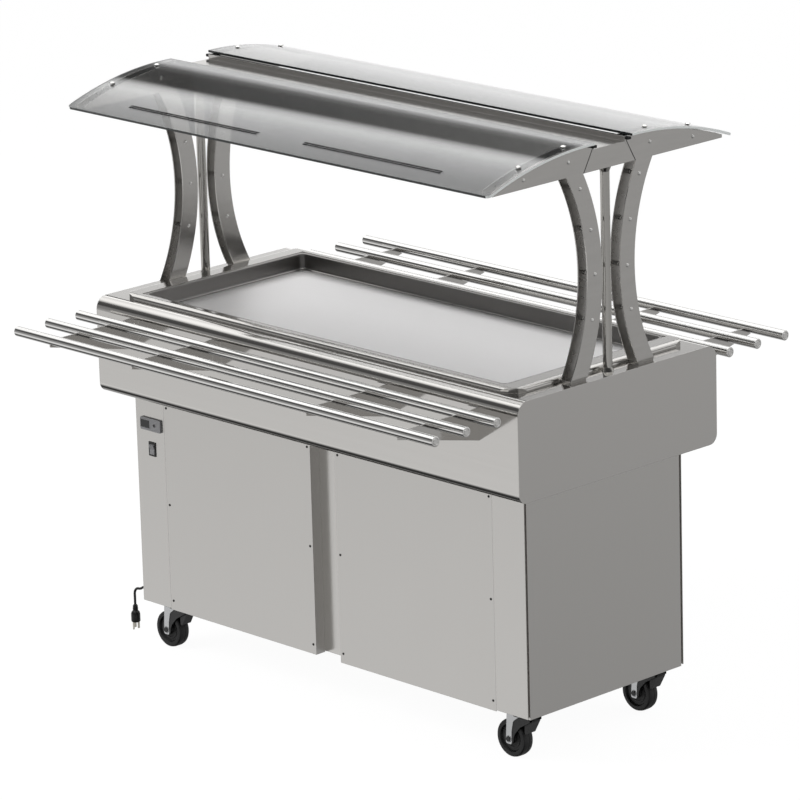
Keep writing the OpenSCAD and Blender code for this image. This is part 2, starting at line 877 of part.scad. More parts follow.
module plug_body() {
  low = cord_end[2] - plug_l;
  shoulder = cord_end[2] - plug_neck_l;
  wide = shoulder - plug_shoulder_l;
  color("black") translate([cord_end[0], cord_end[1], 0]) difference() {
    rotate_extrude() polygon([
      [0, low], [plug_r - plug_edge, low], [plug_r, low + plug_edge], [plug_r, wide],
      [plug_neck_r + plug_edge, shoulder], [plug_neck_r, cord_end[2]], [0, cord_end[2]]
    ]);
    for (i = [0 : 2])
      translate([0, 0, shoulder + plug_edge + i * plug_groove_pitch]) rotate_extrude()
        translate([plug_neck_r, 0]) square([plug_r, plug_groove_w]);
    for (side = [-1, 1])
      translate([side * blade_x - blade_t / 2, blade_y - blade_w / 2, low - over])
        cube([blade_t, blade_w, pin_root + over]);
    translate([0, ground_y, low - over]) cylinder(h = pin_root + over, r = ground_r);
  }
}

module plug_pins() {
  low = cord_end[2] - plug_l;
  color("silver") translate([cord_end[0], cord_end[1], 0]) {
    for (side = [-1, 1])
      translate([side * blade_x - blade_t / 2, blade_y - blade_w / 2, low - blade_l])
        cube([blade_t, blade_w, pin_root + blade_l]);
    translate([0, ground_y, low - ground_l + ground_r]) {
      cylinder(h = pin_root + ground_l - ground_r, r = ground_r);
      sphere(ground_r);
    }
  }
}

// Three tubes on the +Y side
module rail_tubes() {
  for (y = rail_ys)
    translate([-rail_shift - rail_half_l + cap_t, y, rail_z]) rotate([0, 90, 0]) difference() {
      cylinder(h = 2 * (rail_half_l - cap_t), r = rail_r);
      translate([0, 0, -over]) cylinder(h = 2 * (rail_half_l - cap_t + over), r = rail_r - rail_wall);
    }
}

module front_rail_tubes() {
  color("silver") mirror([0, 1, 0]) rail_tubes();
}

module back_rail_tubes() {
  color("silver") rail_tubes();
}

module rail_end_caps() {
  color("silver") translate([-rail_shift, 0, 0]) both_ends() both_sides() for (y = rail_ys)
    translate([rail_half_l - cap_t, y, rail_z]) rotate([0, 90, 0]) {
      cylinder(h = cap_t, r = rail_r);
      translate([0, 0, -cap_plug]) cylinder(h = cap_plug, r = rail_r - rail_wall - run_clear);
    }
}

// Bracket on the +Y side, with its flange on the casing towards the middle
module bracket() {
  tip_y = rail_ys[2] + rail_r / 2;
  tip_z = rail_z - rail_r - bracket_end_drop;
  root_z = bracket_top - bracket_h;
  difference() {
    union() {
      translate([-bracket_t / 2, 0, 0]) along_x(bracket_t)
        polygon([[half_w, root_z], [half_w, bracket_top], [half_w + bracket_t, bracket_top],
          [rail_ys[0] - rail_r, rail_z], [tip_y, rail_z], [tip_y, tip_z]]);
      slab([-flange_w, half_w, root_z], [0, half_w + bracket_t, bracket_top]);
    }
    for (y = rail_ys)
      translate([0, y, rail_z]) rotate([0, 90, 0])
        cylinder(h = 4 * bracket_t, r = rail_r + run_clear, center = true);
    for (z = [root_z + bolt_inset, bracket_top - bolt_inset])
      translate([-flange_w / 2, half_w + bracket_t + over, z]) rotate([90, 0, 0])
        cylinder(h = bracket_t + 2 * over, r = bolt_r + run_clear);
  }
}

module side_brackets() {
  for (x = [bracket_inner_x, bracket_outer_x]) both_ends() translate([x, 0, 0]) bracket();
}

module front_brackets() {
  color("silver") mirror([0, 1, 0]) side_brackets();
}

module back_brackets() {
  color("silver") side_brackets();
}

module bracket_bolts() {
  root_z = bracket_top - bracket_h;
  color("silver") both_ends() both_sides()
    for (x = [bracket_inner_x, bracket_outer_x], z = [root_z + bolt_inset, bracket_top - bolt_inset])
      translate([x - flange_w / 2, half_w + bracket_t, z]) rotate([-90, 0, 0]) {
        cylinder(h = bolt_head_t, r = bolt_head_r, $fn = 6);
        translate([0, 0, -bracket_t]) cylinder(h = bracket_t, r = bolt_r);
      }
}

// Outline of a cheek with its wing on the +Y side
module cheek_outline() {
  wing_low = worktop_z + wing_z;
  intersection() {
    translate([cheek_y, cheek_mid_z]) difference() {
      circle(cheek_arc_r + cheek_w / 2, $fn = 180);
      circle(cheek_arc_r - cheek_w / 2, $fn = 180);
    }
    translate([0, worktop_z + foot_t]) square([spine_low + cheek_w + wing_h, wing_z - foot_t + over]);
  }
  intersection() {
    translate([wing_mid_y, wing_top - wing_r]) circle(wing_r, $fn = 180);
    polygon([[spine_low, wing_low], [wing_reach, wing_low], [wing_reach, wing_top],
      [spine_top, wing_top], [spine_top, seam_top]]);
  }
}

// Two cheeks on the +X end
module end_cheeks() {
  both_sides() for (x = [guard_x - cheek_t / 2, guard_in + cheek_t / 2])
    translate([x, 0, 0]) along_x(cheek_t) cheek_outline();
}

module left_cheeks() {
  color("silver") mirror([1, 0, 0]) end_cheeks();
}

module right_cheeks() {
  color("silver") end_cheeks();
}

// Places of the spacers on one cheek, along Y and Z
function spacer_places() = concat(
  [for (i = [0 : spacer_count - 1]) let (a = spacer_start_angle + i * spacer_step_angle)
    [cheek_y - cheek_arc_r * cos(a), cheek_mid_z + cheek_arc_r * sin(a)]],
  [for (place = wing_spacers) [place[0], spine_z + place[1]]]
);

module guard_spacers() {
  inner_l = guard_d - 2 * cheek_t;
  color("silver") both_ends() both_sides() for (place = spacer_places())
    translate([guard_mid, place[0], place[1]]) rotate([0, 90, 0]) {
      cylinder(h = inner_l, r = spacer_r, center = true);
      for (side = [-1, 1])
        translate([0, 0, side * (guard_d / 2 + spacer_head_t / 2)])
          cylinder(h = spacer_head_t, r = spacer_head_r, center = true);
    }
}

module post_feet() {
  foot_half = wing_z / 2 - foot_t;
  y0 = cheek_y - sqrt(pow(cheek_arc_r + cheek_w / 2, 2) - pow(foot_half, 2));
  y1 = cheek_y - sqrt(pow(cheek_arc_r - cheek_w / 2, 2) - pow(foot_half, 2));
  color("dimgray") both_ends() both_sides()
    slab([guard_in + foot_in / 2, y0 + foot_in, worktop_z],
      [guard_x - foot_in / 2, y1 - foot_in / 2, worktop_z + foot_t]);
}

module centre_poles() {
  color("silver") both_ends() translate([guard_mid, 0, worktop_z]) {
    cylinder(h = wing_z, r = pole_r);
    cylinder(h = pole_foot_h, r1 = pole_foot_r, r2 = pole_r);
    translate([0, 0, wing_z - pole_collar_h]) cylinder(h = pole_collar_h, r1 = pole_r, r2 = pole_collar_r);
  }
}

// Section of the spine in Y and Z, drawn in by a wall
module spine_outline(inset) {
  polygon([[-spine_low + inset, spine_z + inset], [spine_low - inset, spine_z + inset],
    [spine_top - inset, seam_top - inset], [-spine_top + inset, seam_top - inset]]);
}

module spine_beam() {
  length = 2 * (guard_x - sheet_t);
  color("gray") {
    difference() {
      along_x(length) spine_outline(0);
      along_x(length + 2 * over) spine_outline(2 * sheet_t);
    }
    both_sides()
      slab([-length / 2, spine_top - sheet_t, seam_top - over], [length / 2, spine_top, wing_top]);
  }
}

module spine_end_plates() {
  color("silver") both_ends() translate([guard_x - sheet_t / 2, 0, 0]) along_x(sheet_t) spine_outline(0);
}

// Height of the middle of the glass's lower face at a distance across the width
function glass_low_z(y) = glass_top - glass_r + sqrt(pow(glass_r - glass_t, 2) - pow(y - glass_mid_y, 2));

// Places of the glass studs across the width
stud_ys = [for (place = wing_spacers) place[0]];

// Curved pane on the +Y side
module glass_pane() {
  plain = glass_out - glass_corner_r;
  difference() {
    intersection() {
      along_x(2 * glass_half_l) translate([glass_mid_y, glass_top - glass_r]) difference() {
        circle(glass_r, $fn = 360);
        circle(glass_r - glass_t, $fn = 360);
      }
      translate([0, 0, spine_z - wing_h]) linear_extrude(3 * wing_h) {
        translate([-glass_half_l, glass_in]) square([2 * glass_half_l, plain - glass_in]);
        translate([-glass_half_l + glass_corner_r, glass_in])
          square([2 * (glass_half_l - glass_corner_r), glass_out - glass_in]);
        for (side = [-1, 1])
          translate([side * (glass_half_l - glass_corner_r), plain]) circle(glass_corner_r);
      }
    }
    both_ends() for (y = stud_ys)
      translate([guard_mid, y, spine_z]) cylinder(h = 2 * wing_h, r = stud_r + run_clear);
  }
}

module front_glass() {
  color("lightcyan", 0.4) mirror([0, 1, 0]) glass_pane();
}

module back_glass() {
  color("lightcyan", 0.4) glass_pane();
}

module glass_standoffs() {
  color("silver") both_ends() both_sides() for (place = wing_spacers) {
    low = glass_low_z(place[0]);
    foot = spine_z + place[1] + spacer_r;
    // Room for the slope of the glass under a flat head
    slope_room = stud_head_r * (place[0] - glass_mid_y) / glass_r + fit_gap;
    head_z = low + glass_t + slope_room;
    translate([guard_mid, place[0], foot]) cylinder(h = head_z + stud_head_t - foot, r = stud_r);
    translate([guard_mid, place[0], low - slope_room - stud_collar_t])
      cylinder(h = stud_collar_t, r = stud_head_r);
    translate([guard_mid, place[0], head_z]) {
      cylinder(h = stud_head_t / 2, r = stud_head_r);
      translate([0, 0, stud_head_t / 2]) cylinder(h = stud_head_t / 2, r1 = stud_head_r, r2 = stud_r);
    }
  }
}

module compressor() {
  floor = base_z + base_t;
  shell_z = floor + mount_h + compressor_foot_t;
  color("black") {
    translate([compressor_x, 0, shell_z]) rotate_extrude() union() {
      square([compressor_r, compressor_h - compressor_dome]);
      translate([0, compressor_h - compressor_dome]) intersection() {
        square([compressor_r, compressor_dome]);
        translate([0, compressor_dome - compressor_r * dome_share]) circle(compressor_r * dome_share);
      }
    }
    translate([compressor_x - compressor_foot_l / 2, -compressor_foot_w / 2, floor + mount_h])
      cube([compressor_foot_l, compressor_foot_w, compressor_foot_t]);
    for (sx = [-1, 1], sy = [-1, 1])
      translate([compressor_x + sx * (compressor_foot_l / 2 - mount_r),
        sy * (compressor_foot_w / 2 - mount_r), floor]) cylinder(h = mount_h, r = mount_r);
  }
}

module condenser_coil() {
  floor = base_z + base_t;
  x0 = condenser_x - condenser_l / 2;
  x1 = condenser_x + condenser_l / 2;
  y1 = condenser_y + condenser_d;
  count = floor((condenser_h - 2 * fin_pitch) / fin_pitch);
  color("darkgray") {
    for (x = [x0, x1 - header_w])
      slab([x, condenser_y, floor], [x + header_w, y1, condenser_z + condenser_h]);
    for (i = [0 : count])
      slab([x0, condenser_y + fin_t, condenser_z + fin_pitch / 2 + i * fin_pitch],
        [x1, y1 - fin_t, condenser_z + fin_pitch / 2 + i * fin_pitch + fin_t]);
    difference() {
      slab([x0, condenser_y - shroud_t, condenser_z], [x1, condenser_y, condenser_z + condenser_h]);
      translate([condenser_x, condenser_y, fan_z]) rotate([90, 0, 0])
        cylinder(h = 4 * shroud_t, r = fan_r + shroud_t, center = true);
    }
    translate([condenser_x, condenser_y, fan_z]) rotate([90, 0, 0]) difference() {
      cylinder(h = shroud_l, r = fan_r + 2 * shroud_t);
      translate([0, 0, -over]) cylinder(h = shroud_l + 2 * over, r = fan_r + shroud_t);
    }
  }
}

module fan_motor() {
  floor = base_z + base_t;
  back_y = fan_y - fan_hub_l / 2 - motor_gap;
  color("gray") {
    translate([condenser_x, back_y, fan_z]) rotate([90, 0, 0]) {
      cylinder(h = motor_l, r = motor_r);
      translate([0, 0, -motor_gap - fan_hub_l / 2]) cylinder(h = motor_l, r = motor_shaft_r);
    }
    slab([condenser_x - motor_foot_w / 2, back_y - motor_l / 2 - motor_foot_t, floor],
      [condenser_x + motor_foot_w / 2, back_y - motor_l / 2 + motor_foot_t, fan_z]);
    slab([condenser_x - motor_foot_w, back_y - motor_l, floor],
      [condenser_x + motor_foot_w, back_y, floor + motor_foot_t]);
  }
}

module fan_blade() {
  color("dimgray") translate([condenser_x, fan_y, fan_z]) difference() {
    union() {
      rotate([90, 0, 0]) cylinder(h = fan_hub_l, r = fan_hub_r, center = true);
      intersection() {
        rotate([90, 0, 0]) cylinder(h = fan_hub_l, r = fan_r, center = true);
        for (i = [0 : fan_blades - 1])
          rotate([0, i * 360 / fan_blades, 0]) rotate([0, 0, fan_pitch])
            translate([-fan_chord / 2, -fan_blade_t / 2, 0]) cube([fan_chord, fan_blade_t, fan_r]);
      }
    }
    translate([0, -fan_hub_l / 2 - over, 0]) rotate([-90, 0, 0])
      cylinder(h = fan_hub_l / 2 + over + fit_gap, r = motor_shaft_r + run_clear);
  }
}

// Suction, liquid and discharge pipes between the cooling pieces
module refrigerant_pipes() {
  top = base_z + base_t + mount_h + compressor_foot_t + compressor_h;
  condenser_top = condenser_z + condenser_h;
  suction_z = top + 2 * stub_l;
  liquid_z = condenser_top + 3 * stub_l;
  discharge_z = condenser_top + stub_l;
  shell_x = compressor_x + compressor_r;
  rise_x = shell_x + 2 * stub_l;
  header_x0 = condenser_x - condenser_l / 2 + header_w / 2;
  header_x1 = condenser_x + condenser_l / 2 - header_w / 2;
  header_y = condenser_y + condenser_d / 2;
  color("peru") {
    bent_rod([[coil_end_x, coil_y, pipe_drop_z], [coil_end_x, coil_y, suction_z + stub_l],
      [coil_end_x, 0, suction_z + stub_l], [compressor_x, 0, suction_z + stub_l],
      [compressor_x, 0, top]], coil_r);
    bent_rod([[coil_end_x, -coil_y, pipe_drop_z], [coil_end_x, -coil_y, liquid_z + stub_l],
      [header_x1, -coil_y, liquid_z + stub_l], [header_x1, header_y, liquid_z + stub_l],
      [header_x1, header_y, condenser_top]], coil_r);
    bent_rod([[shell_x, 0, fan_z], [rise_x, 0, fan_z], [rise_x, stub_l, fan_z],
      [rise_x, stub_l, discharge_z], [rise_x, header_y, discharge_z],
      [header_x0, header_y, discharge_z], [header_x0, header_y, condenser_top]], coil_r);
  }
}

// Places of the swivel axes: X, Y
function caster_place(sx, sy) = [sx * caster_x, sy * caster_y, 0];

module caster_plates() {
  race_z = caster_plate_z - race_t;
  head_z = crown_z - fork_t - fit_gap - kingpin_head_t;
  color("silver") for (sx = [-1, 1], sy = [-1, 1]) translate(caster_place(sx, sy)) {
    translate([-plate_l / 2, -plate_w / 2, caster_plate_z]) cube([plate_l, plate_w, plate_t]);
    both_ends() both_sides()
      translate([plate_l / 2 - plate_bolt_in, plate_w / 2 - plate_bolt_in, caster_plate_z - plate_bolt_t])
        cylinder(h = plate_bolt_t, r = plate_bolt_r, $fn = 6);
    translate([0, 0, race_z]) cylinder(h = race_t, r = race_r);
    translate([0, 0, head_z]) cylinder(h = caster_plate_z - head_z, r = kingpin_r);
    translate([0, 0, head_z]) cylinder(h = kingpin_head_t, r = kingpin_head_r);
  }
}

// Fork with its axle and pedal pin; the wheel trails towards -X
module caster_fork(sx, sy) {
  crown_x0 = leg_shares[3][0] * wheel_r;
  crown_x1 = crown_share * wheel_r;
  outer_y = leg_y + fork_t;
  color("silver") translate(caster_place(sx, sy)) {
    difference() {
      union() {
        translate([-trail, 0, wheel_r]) both_sides() translate([0, leg_y + fork_t / 2, 0]) along_y(fork_t) {
          circle(leg_r);
          polygon([for (share = leg_shares) [share[0] * wheel_r, share[1] * crown_rise]]);
        }
        slab([crown_x0 - trail, -outer_y, crown_z - fork_t], [crown_x1 - trail, outer_y, crown_z]);
        translate([0, 0, crown_z]) cylinder(h = fork_race_t, r = race_r - fork_t);
      }
      translate([0, 0, crown_z - fork_t - over])
        cylinder(h = fork_race_t + fork_t + 2 * over, r = kingpin_r + run_clear);
      translate([-trail, 0, wheel_r]) {
        rotate([90, 0, 0]) cylinder(h = 4 * leg_y, r = axle_r + run_clear, center = true);
        translate([pedal_pin[0], 0, pedal_pin[1]]) rotate([90, 0, 0])
          cylinder(h = 4 * leg_y, r = pedal_pin_r + run_clear, center = true);
      }
    }
    translate([-trail, 0, wheel_r]) {
      rotate([90, 0, 0]) cylinder(h = 2 * (outer_y + axle_head_t), r = axle_r, center = true);
      both_sides() translate([0, outer_y + run_clear, 0]) rotate([-90, 0, 0])
        cylinder(h = axle_head_t, r = axle_head_r, $fn = 6);
      translate([pedal_pin[0], 0, pedal_pin[1]]) rotate([90, 0, 0])
        cylinder(h = 2 * outer_y, r = pedal_pin_r, center = true);
    }
  }
}

module caster_wheel(sx, sy) {
  half = wheel_w / 2;
  hub_half = leg_y - fit_gap;
  web_half = half - dish_d;
  rim_r = wheel_r - tyre_t;
  color("black") translate(caster_place(sx, sy) + [-trail, 0, wheel_r]) rotate([90, 0, 0])
    rotate_extrude() difference() {
      union() {
        translate([0, -hub_half]) square([hub_r, 2 * hub_half]);
        translate([0, -web_half]) square([rim_r, 2 * web_half]);
        translate([rim_r - tyre_edge_r, -half]) square([tyre_t, 2 * half]);
        translate([rim_r, -half + tyre_edge_r]) square([tyre_t, wheel_w - 2 * tyre_edge_r]);
        for (side = [-1, 1])
          translate([wheel_r - tyre_edge_r, side * (half - tyre_edge_r)]) circle(tyre_edge_r);
      }
      translate([0, -hub_half - over]) square([axle_r + run_clear, 2 * (hub_half + over)]);
    }
}

module brake_pedal(sx, sy) {
  boss_r = 2 * pedal_pin_r;
  boss_l = 2 * (leg_y - fit_gap);
  color("black") translate(caster_place(sx, sy) + [-trail, 0, wheel_r]) difference() {
    union() {
      along_y(pedal_w) polygon([for (share = pedal_shares) share * wheel_r]);
      translate([pedal_pin[0], 0, pedal_pin[1]]) rotate([90, 0, 0])
        cylinder(h = boss_l, r = boss_r, center = true);
    }
    translate([pedal_pin[0], 0, pedal_pin[1]]) rotate([90, 0, 0])
      cylinder(h = boss_l + 2 * over, r = pedal_pin_r + run_clear, center = true);
  }
}

casing_skin();
casing_ends();
well_rim();
well_pan();
insulation();
evaporator_coil();
drain_pipe();
base_plate();
post_front_left();
post_front_right();
posts_back();
centre_channels();
panel_front_left();
panel_front_right();
panels_back();
end_panels();
panel_screws();
thermostat_housing();
thermostat_display();
thermostat_button();
switch_frame();
rocker();
cord_gland();
power_cord();
plug_body();
plug_pins();
front_rail_tubes();
back_rail_tubes();
rail_end_caps();
front_brackets();
back_brackets();
bracket_bolts();
left_cheeks();
right_cheeks();
guard_spacers();
post_feet();
centre_poles();
spine_beam();
spine_end_plates();
front_glass();
back_glass();
glass_standoffs();
compressor();
condenser_coil();
fan_motor();
fan_blade();
refrigerant_pipes();
caster_plates();
caster_fork(-1, -1);  // fork_front_left
caster_fork(1, -1);  // fork_front_right
caster_fork(-1, 1);  // fork_back_left
caster_fork(1, 1);  // fork_back_right
caster_wheel(-1, -1);  // wheel_front_left
caster_wheel(1, -1);  // wheel_front_right
caster_wheel(-1, 1);  // wheel_back_left
caster_wheel(1, 1);  // wheel_back_right
brake_pedal(-1, -1);  // pedal_front_left
brake_pedal(1, -1);  // pedal_front_right
brake_pedal(-1, 1);  // pedal_back_left
brake_pedal(1, 1);  // pedal_back_right
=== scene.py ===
import math

import bpy
from bpy.props import FloatProperty, FloatVectorProperty, PointerProperty
from bpy.types import Operator, Panel, PropertyGroup
from mathutils import Matrix, Vector


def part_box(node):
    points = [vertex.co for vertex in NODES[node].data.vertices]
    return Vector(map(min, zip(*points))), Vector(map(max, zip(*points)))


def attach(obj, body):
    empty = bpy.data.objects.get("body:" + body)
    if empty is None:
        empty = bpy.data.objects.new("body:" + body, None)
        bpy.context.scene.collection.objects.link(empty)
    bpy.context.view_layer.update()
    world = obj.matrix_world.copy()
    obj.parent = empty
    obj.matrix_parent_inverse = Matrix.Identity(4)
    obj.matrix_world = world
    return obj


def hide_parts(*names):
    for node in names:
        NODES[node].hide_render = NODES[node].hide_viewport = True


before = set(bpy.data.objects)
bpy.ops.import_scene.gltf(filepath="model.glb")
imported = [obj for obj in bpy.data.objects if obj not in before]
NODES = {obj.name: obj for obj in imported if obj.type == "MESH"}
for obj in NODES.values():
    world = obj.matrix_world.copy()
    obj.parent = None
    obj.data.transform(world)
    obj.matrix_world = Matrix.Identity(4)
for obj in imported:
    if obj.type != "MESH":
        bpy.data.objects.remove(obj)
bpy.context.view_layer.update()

bl_info = {
    "name": "Mobile Salad Bar",
    "version": (1, 0, 0),
    "blender": (4, 5, 0),
    "location": "View3D > Sidebar > Salad Bar",
    "description": "Dresses the packed salad bar: finishes, well, rails, guard, controls, castors, stage",
    "category": "Object",
}

CORNERS = ("front_left", "front_right", "back_left", "back_right")


def srgb(code):
    """Turns an sRGB hex colour into linear red, green and blue."""
    values = [int(code[i:i + 2], 16) / 255 for i in (1, 3, 5)]
    return tuple(v / 12.92 if v <= 0.04045 else ((v + 0.055) / 1.055) ** 2.4 for v in values)


def middle(node):
    low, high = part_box(node)
    return (low + high) / 2


def size(name, text, default, **more):
    return FloatProperty(name=name, description=text, default=default, unit="LENGTH", precision=4, **more)


def colour(name, text, code):
    return FloatVectorProperty(
        name=name, description=text, default=srgb(code), subtype="COLOR", min=0.0, max=1.0)


class SaladBarSizes(PropertyGroup):
    """Sizes of the details that the solids leave out."""

    edge_radius: size("Sheet edge radius", "Rounding of folded and cut sheet edges", 0.0009, min=0.0)
    pan_corner: size("Pan corner", "Corner radius of the well pan in plan", 0.016, min=0.002)
    pan_cove: size("Pan cove", "Radius between the pan's wall and floor", 0.007, min=0.001)
    cap_ring: size("Cap ring", "Radius of the groove in the rail end caps", 0.0078, min=0.002)
    stripe_width: size("Stripe width", "Width of one line on the front glass", 0.0046, min=0.0005)
    stripe_gap: size("Stripe gap", "Distance between the two lines on the glass", 0.0066, min=0.001)
    glass_edge: size("Glass edge", "Ground arris of the glass", 0.0009, min=0.0002)
    tread_groove: size("Tread groove", "Width of the moulding groove round the tyres", 0.0012, min=0.0002)
    grain_pitch: size("Grain pitch", "Distance between the lines of the brushed grain", 0.0035, min=0.0002)


class SaladBarColours(PropertyGroup):
    """Colours of the finishes."""

    sheet: colour("Sheet steel", "Brushed sheet of the casing and body", "#C6C4C1")
    polish: colour("Polished steel", "Polished tubes and fasteners", "#DCDBD9")
    guard: colour("Guard steel", "Satin sheet of the cheeks and spine", "#C0BEBB")
    # The well's floor and walls are one drawn sheet: the floor's lighter colour is painted light, the walls'
    # darker colour painted shade
    pan_floor: colour("Pan floor", "Floor of the well", "#E6E5E5")
    pan_wall: colour("Pan wall", "Walls of the well", "#8C8A88")
    # The glass's grey tint is painted shade on what shows through it
    glass: colour("Glass", "Tint of the guard glass", "#DCDDDD")
    plastic: colour("Black plastic", "Moulded black plastic", "#0C0C0D")
    housing: colour("Grey plastic", "Moulded housing of the thermostat", "#828284")
    rubber: colour("Rubber", "Tyres and the cord's sheath", "#0D0D0E")
    zinc: colour("Zinc", "Plated forks and plates of the castors", "#C9CACB")
    stripe: colour("Stripe", "Lines on the front glass", "#141415")
    copper: colour("Copper", "Refrigerant tubes", "#B87A5A")
    foam: colour("Foam", "Insulation round the well", "#D9CFA8")


def sizes():
    return bpy.context.scene.salad_bar_sizes


def colours():
    return bpy.context.scene.salad_bar_colours


# Materials

def add(tree, kind, sockets=None, **settings):
    """Adds a shader node with its settings, and sets or links its sockets."""
    node = tree.nodes.new("ShaderNode" + kind)
    for key, value in settings.items():
        setattr(node, key, value)
    for key, value in (sockets or {}).items():
        if isinstance(value, bpy.types.NodeSocket):
            tree.links.new(value, node.inputs[key])
        else:
            node.inputs[key].default_value = value
    return node


def empty_tree(owner):
    """The emptied node tree of a material or a world."""
    owner.use_nodes = True
    owner.node_tree.nodes.clear()
    return owner.node_tree


def start_material(name, base, metallic, roughness, **sockets):
    """A material, its tree and its Principled shader, or None for the last two when it is there."""
    known = bpy.data.materials.get(name)
    if known:
        return known, None, None
    material = bpy.data.materials.new(name)
    tree = empty_tree(material)
    shader = add(tree, "BsdfPrincipled", {
        "Base Color": (*base, 1.0), "Metallic": metallic, "Roughness": roughness, **sockets})
    add(tree, "OutputMaterial", {"Surface": shader.outputs["BSDF"]})
    material.diffuse_color = (*base, 1.0)
    return material, tree, shader


def grain(tree, shader, scale, base, roughness, depth, shade, swing, edge):
    """Drawn-out noise in the object's own space: tone, roughness and height of a brushed surface."""
    place = add(tree, "TexCoord")
    mapping = add(tree, "Mapping", {"Vector": place.outputs["Object"], "Scale": scale})
    lines = add(tree, "TexNoise", {
        "Vector": mapping.outputs["Vector"], "Scale": 1.0, "Detail": 4.0, "Roughness": 0.6})
    # Slow changes from rolling and handling, about 200 mm across
    cloud = add(tree, "TexNoise", {
        "Vector": place.outputs["Object"], "Scale": 1 / 0.2, "Detail": 2.0, "Roughness": 0.5})
    tone = add(tree, "MapRange", {
        "Value": lines.outputs["Fac"], "From Min": 0.3, "From Max": 0.7,
        "To Min": 1.0 - shade, "To Max": 1.0})
    paint = add(tree, "Mix", {6: (*base, 1.0), 7: tone.outputs["Result"], 0: 1.0},
                data_type="RGBA", blend_type="MULTIPLY")
    tree.links.new(paint.outputs[2], shader.inputs["Base Color"])
    blend = add(tree, "Math", {0: lines.outputs["Fac"], 1: cloud.outputs["Fac"]}, operation="ADD")
    rough = add(tree, "MapRange", {
        "Value": blend.outputs["Value"], "From Min": 0.7, "From Max": 1.3,
        "To Min": max(0.02, roughness - swing), "To Max": roughness + swing})
    tree.links.new(rough.outputs["Result"], shader.inputs["Roughness"])
    bump = add(tree, "Bump", {
        "Height": lines.outputs["Fac"], "Strength": 0.2, "Distance": depth})
    if edge:
        round_edge = add(tree, "Bevel", {"Radius": sizes().edge_radius}, samples=4)
        tree.links.new(round_edge.outputs["Normal"], bump.inputs["Normal"])
    tree.links.new(bump.outputs["Normal"], shader.inputs["Normal"])


def textured(name, base, metallic, roughness, scale, depth, shade, swing, edge=True, **sockets):
    """A material whose tone, roughness and height follow its grain."""
    material, tree, shader = start_material(name, base, metallic, roughness, **sockets)
    if tree:
        grain(tree, shader, scale, base, roughness, depth, shade, swing, edge)
    return material


def along(axis, pitch, length=0.35):
    """Scale of a grain that runs along an axis."""
    return tuple(1 / length if a == axis else 1 / pitch for a in "XYZ")


def even(pitch):
    """Scale of a pattern that is alike in all directions."""
    # Real crystals, pores and tool marks are finer; they are drawn as coarse as they need to show
    return (1 / pitch,) * 3


def brushed_sheet(axis, roughness=0.24):
    """304 stainless sheet, belt-brushed: a satin mirror with fine lines along the sheet."""
    name = f"stainless_sheet_brushed_{axis.lower()}_{round(roughness * 100)}"
    base = colours().sheet[:]
    # Real grain is 0.1 mm; it is drawn coarser so that it shows at this distance
    return textured(name, base, 1.0, roughness, along(axis, sizes().grain_pitch),
                    0.0000003, 0.008, 0.006, Anisotropic=0.3)


def mirror_sheet(axis):
    """304 stainless sheet, bright annealed: shows the brackets and tubes in front of it."""
    base = colours().sheet[:]
    return textured("stainless_sheet_bright_" + axis.lower(), base, 1.0, 0.11,
                    along(axis, sizes().grain_pitch * 2), 0.0000005, 0.02, 0.01)


def guard_sheet():
    """304 stainless plate, satin: cross lines left by the belt, dull against the tubes."""
    base = colours().guard[:]
    return textured("stainless_plate_satin", base, 1.0, 0.2, along("Y", sizes().grain_pitch * 4, 0.12),
                    0.000002, 0.05, 0.03)


def mill_sheet():
    """304 stainless plate, hot rolled and pickled: the dull inner side of the cheeks."""
    base = srgb("#A6A4A1")
    return textured("stainless_plate_pickled", base, 1.0, 0.3, even(0.01667), 0.00001, 0.2, 0.06)


def polished_steel():
    """304 stainless tube, buffed: clear reflections with a few hairlines."""
    base = colours().polish[:]
    return textured("stainless_tube_polished", base, 1.0, 0.07, along("X", 0.002, 0.5), 0.000001, 0.02, 0.02)


def drawn_tube():
    """304 stainless tube, bright drawn: its base is darker than the rails', a painted dark reflection for the
    band down the poles' middle.
    """
    base = srgb("#B2B0AC")
    return textured("stainless_tube_drawn", base, 1.0, 0.13, along("Z", 0.002, 0.5), 0.000001, 0.03, 0.02)


def pan_steel(name, base, roughness):
    """304 stainless, deep drawn: soft, slightly uneven sheen."""
    return textured(name, base, 1.0, roughness, along("X", 0.006, 0.25), 0.0000005, 0.015, 0.01)


def zinc_plate():
    """Pressed steel, bright zinc plated: pale, cloudy crystals and soft edges."""
    base = colours().zinc[:]
    return textured("steel_pressed_zinc_plated", base, 1.0, 0.3, even(0.007143), 0.00004, 0.18, 0.08)


def coated_steel():
    """Pressed steel, near black: even, low gloss, soft on its edges."""
    base = srgb("#121213")
    return textured("steel_electrocoated_black", base, 0.0, 0.35, even(0.003846), 0.00003, 0.2, 0.08, IOR=1.5)


def moulded(name, base, roughness, pitch=0.0012, depth=0.00003, ior=1.5, **sockets):
    """Moulded plastic or rubber: eroded tool texture gives an even, broken sheen."""
    return textured(
        name, base, 0.0, roughness, even(pitch), depth, 0.12, 0.07, edge=False, IOR=ior, **sockets)


def black_plastic():
    return moulded("polyamide_moulded_black", colours().plastic[:], 0.38)


def housing_plastic():
    return moulded("abs_moulded_grey", colours().housing[:], 0.42)


def tyre_rubber():
    return moulded("rubber_moulded_black", colours().rubber[:], 0.5, 0.002, 0.00006, 1.52)


def cord_sheath():
    return moulded("pvc_extruded_black", colours().rubber[:], 0.45, 0.0015, 0.00004, 1.53)


def blackened_steel():
    """Carbon steel, phosphated: near black with rounded edges."""
    base = srgb("#3A3A3B")
    return textured("steel_phosphated", base, 0.9, 0.38, even(0.001429), 0.00003, 0.3, 0.1)


def sealant():
    """Silicone sealant, tooled: dull black with a slight ripple."""
    return moulded("silicone_tooled_black", colours().rubber[:], 0.55, 0.003, 0.00004, 1.41)


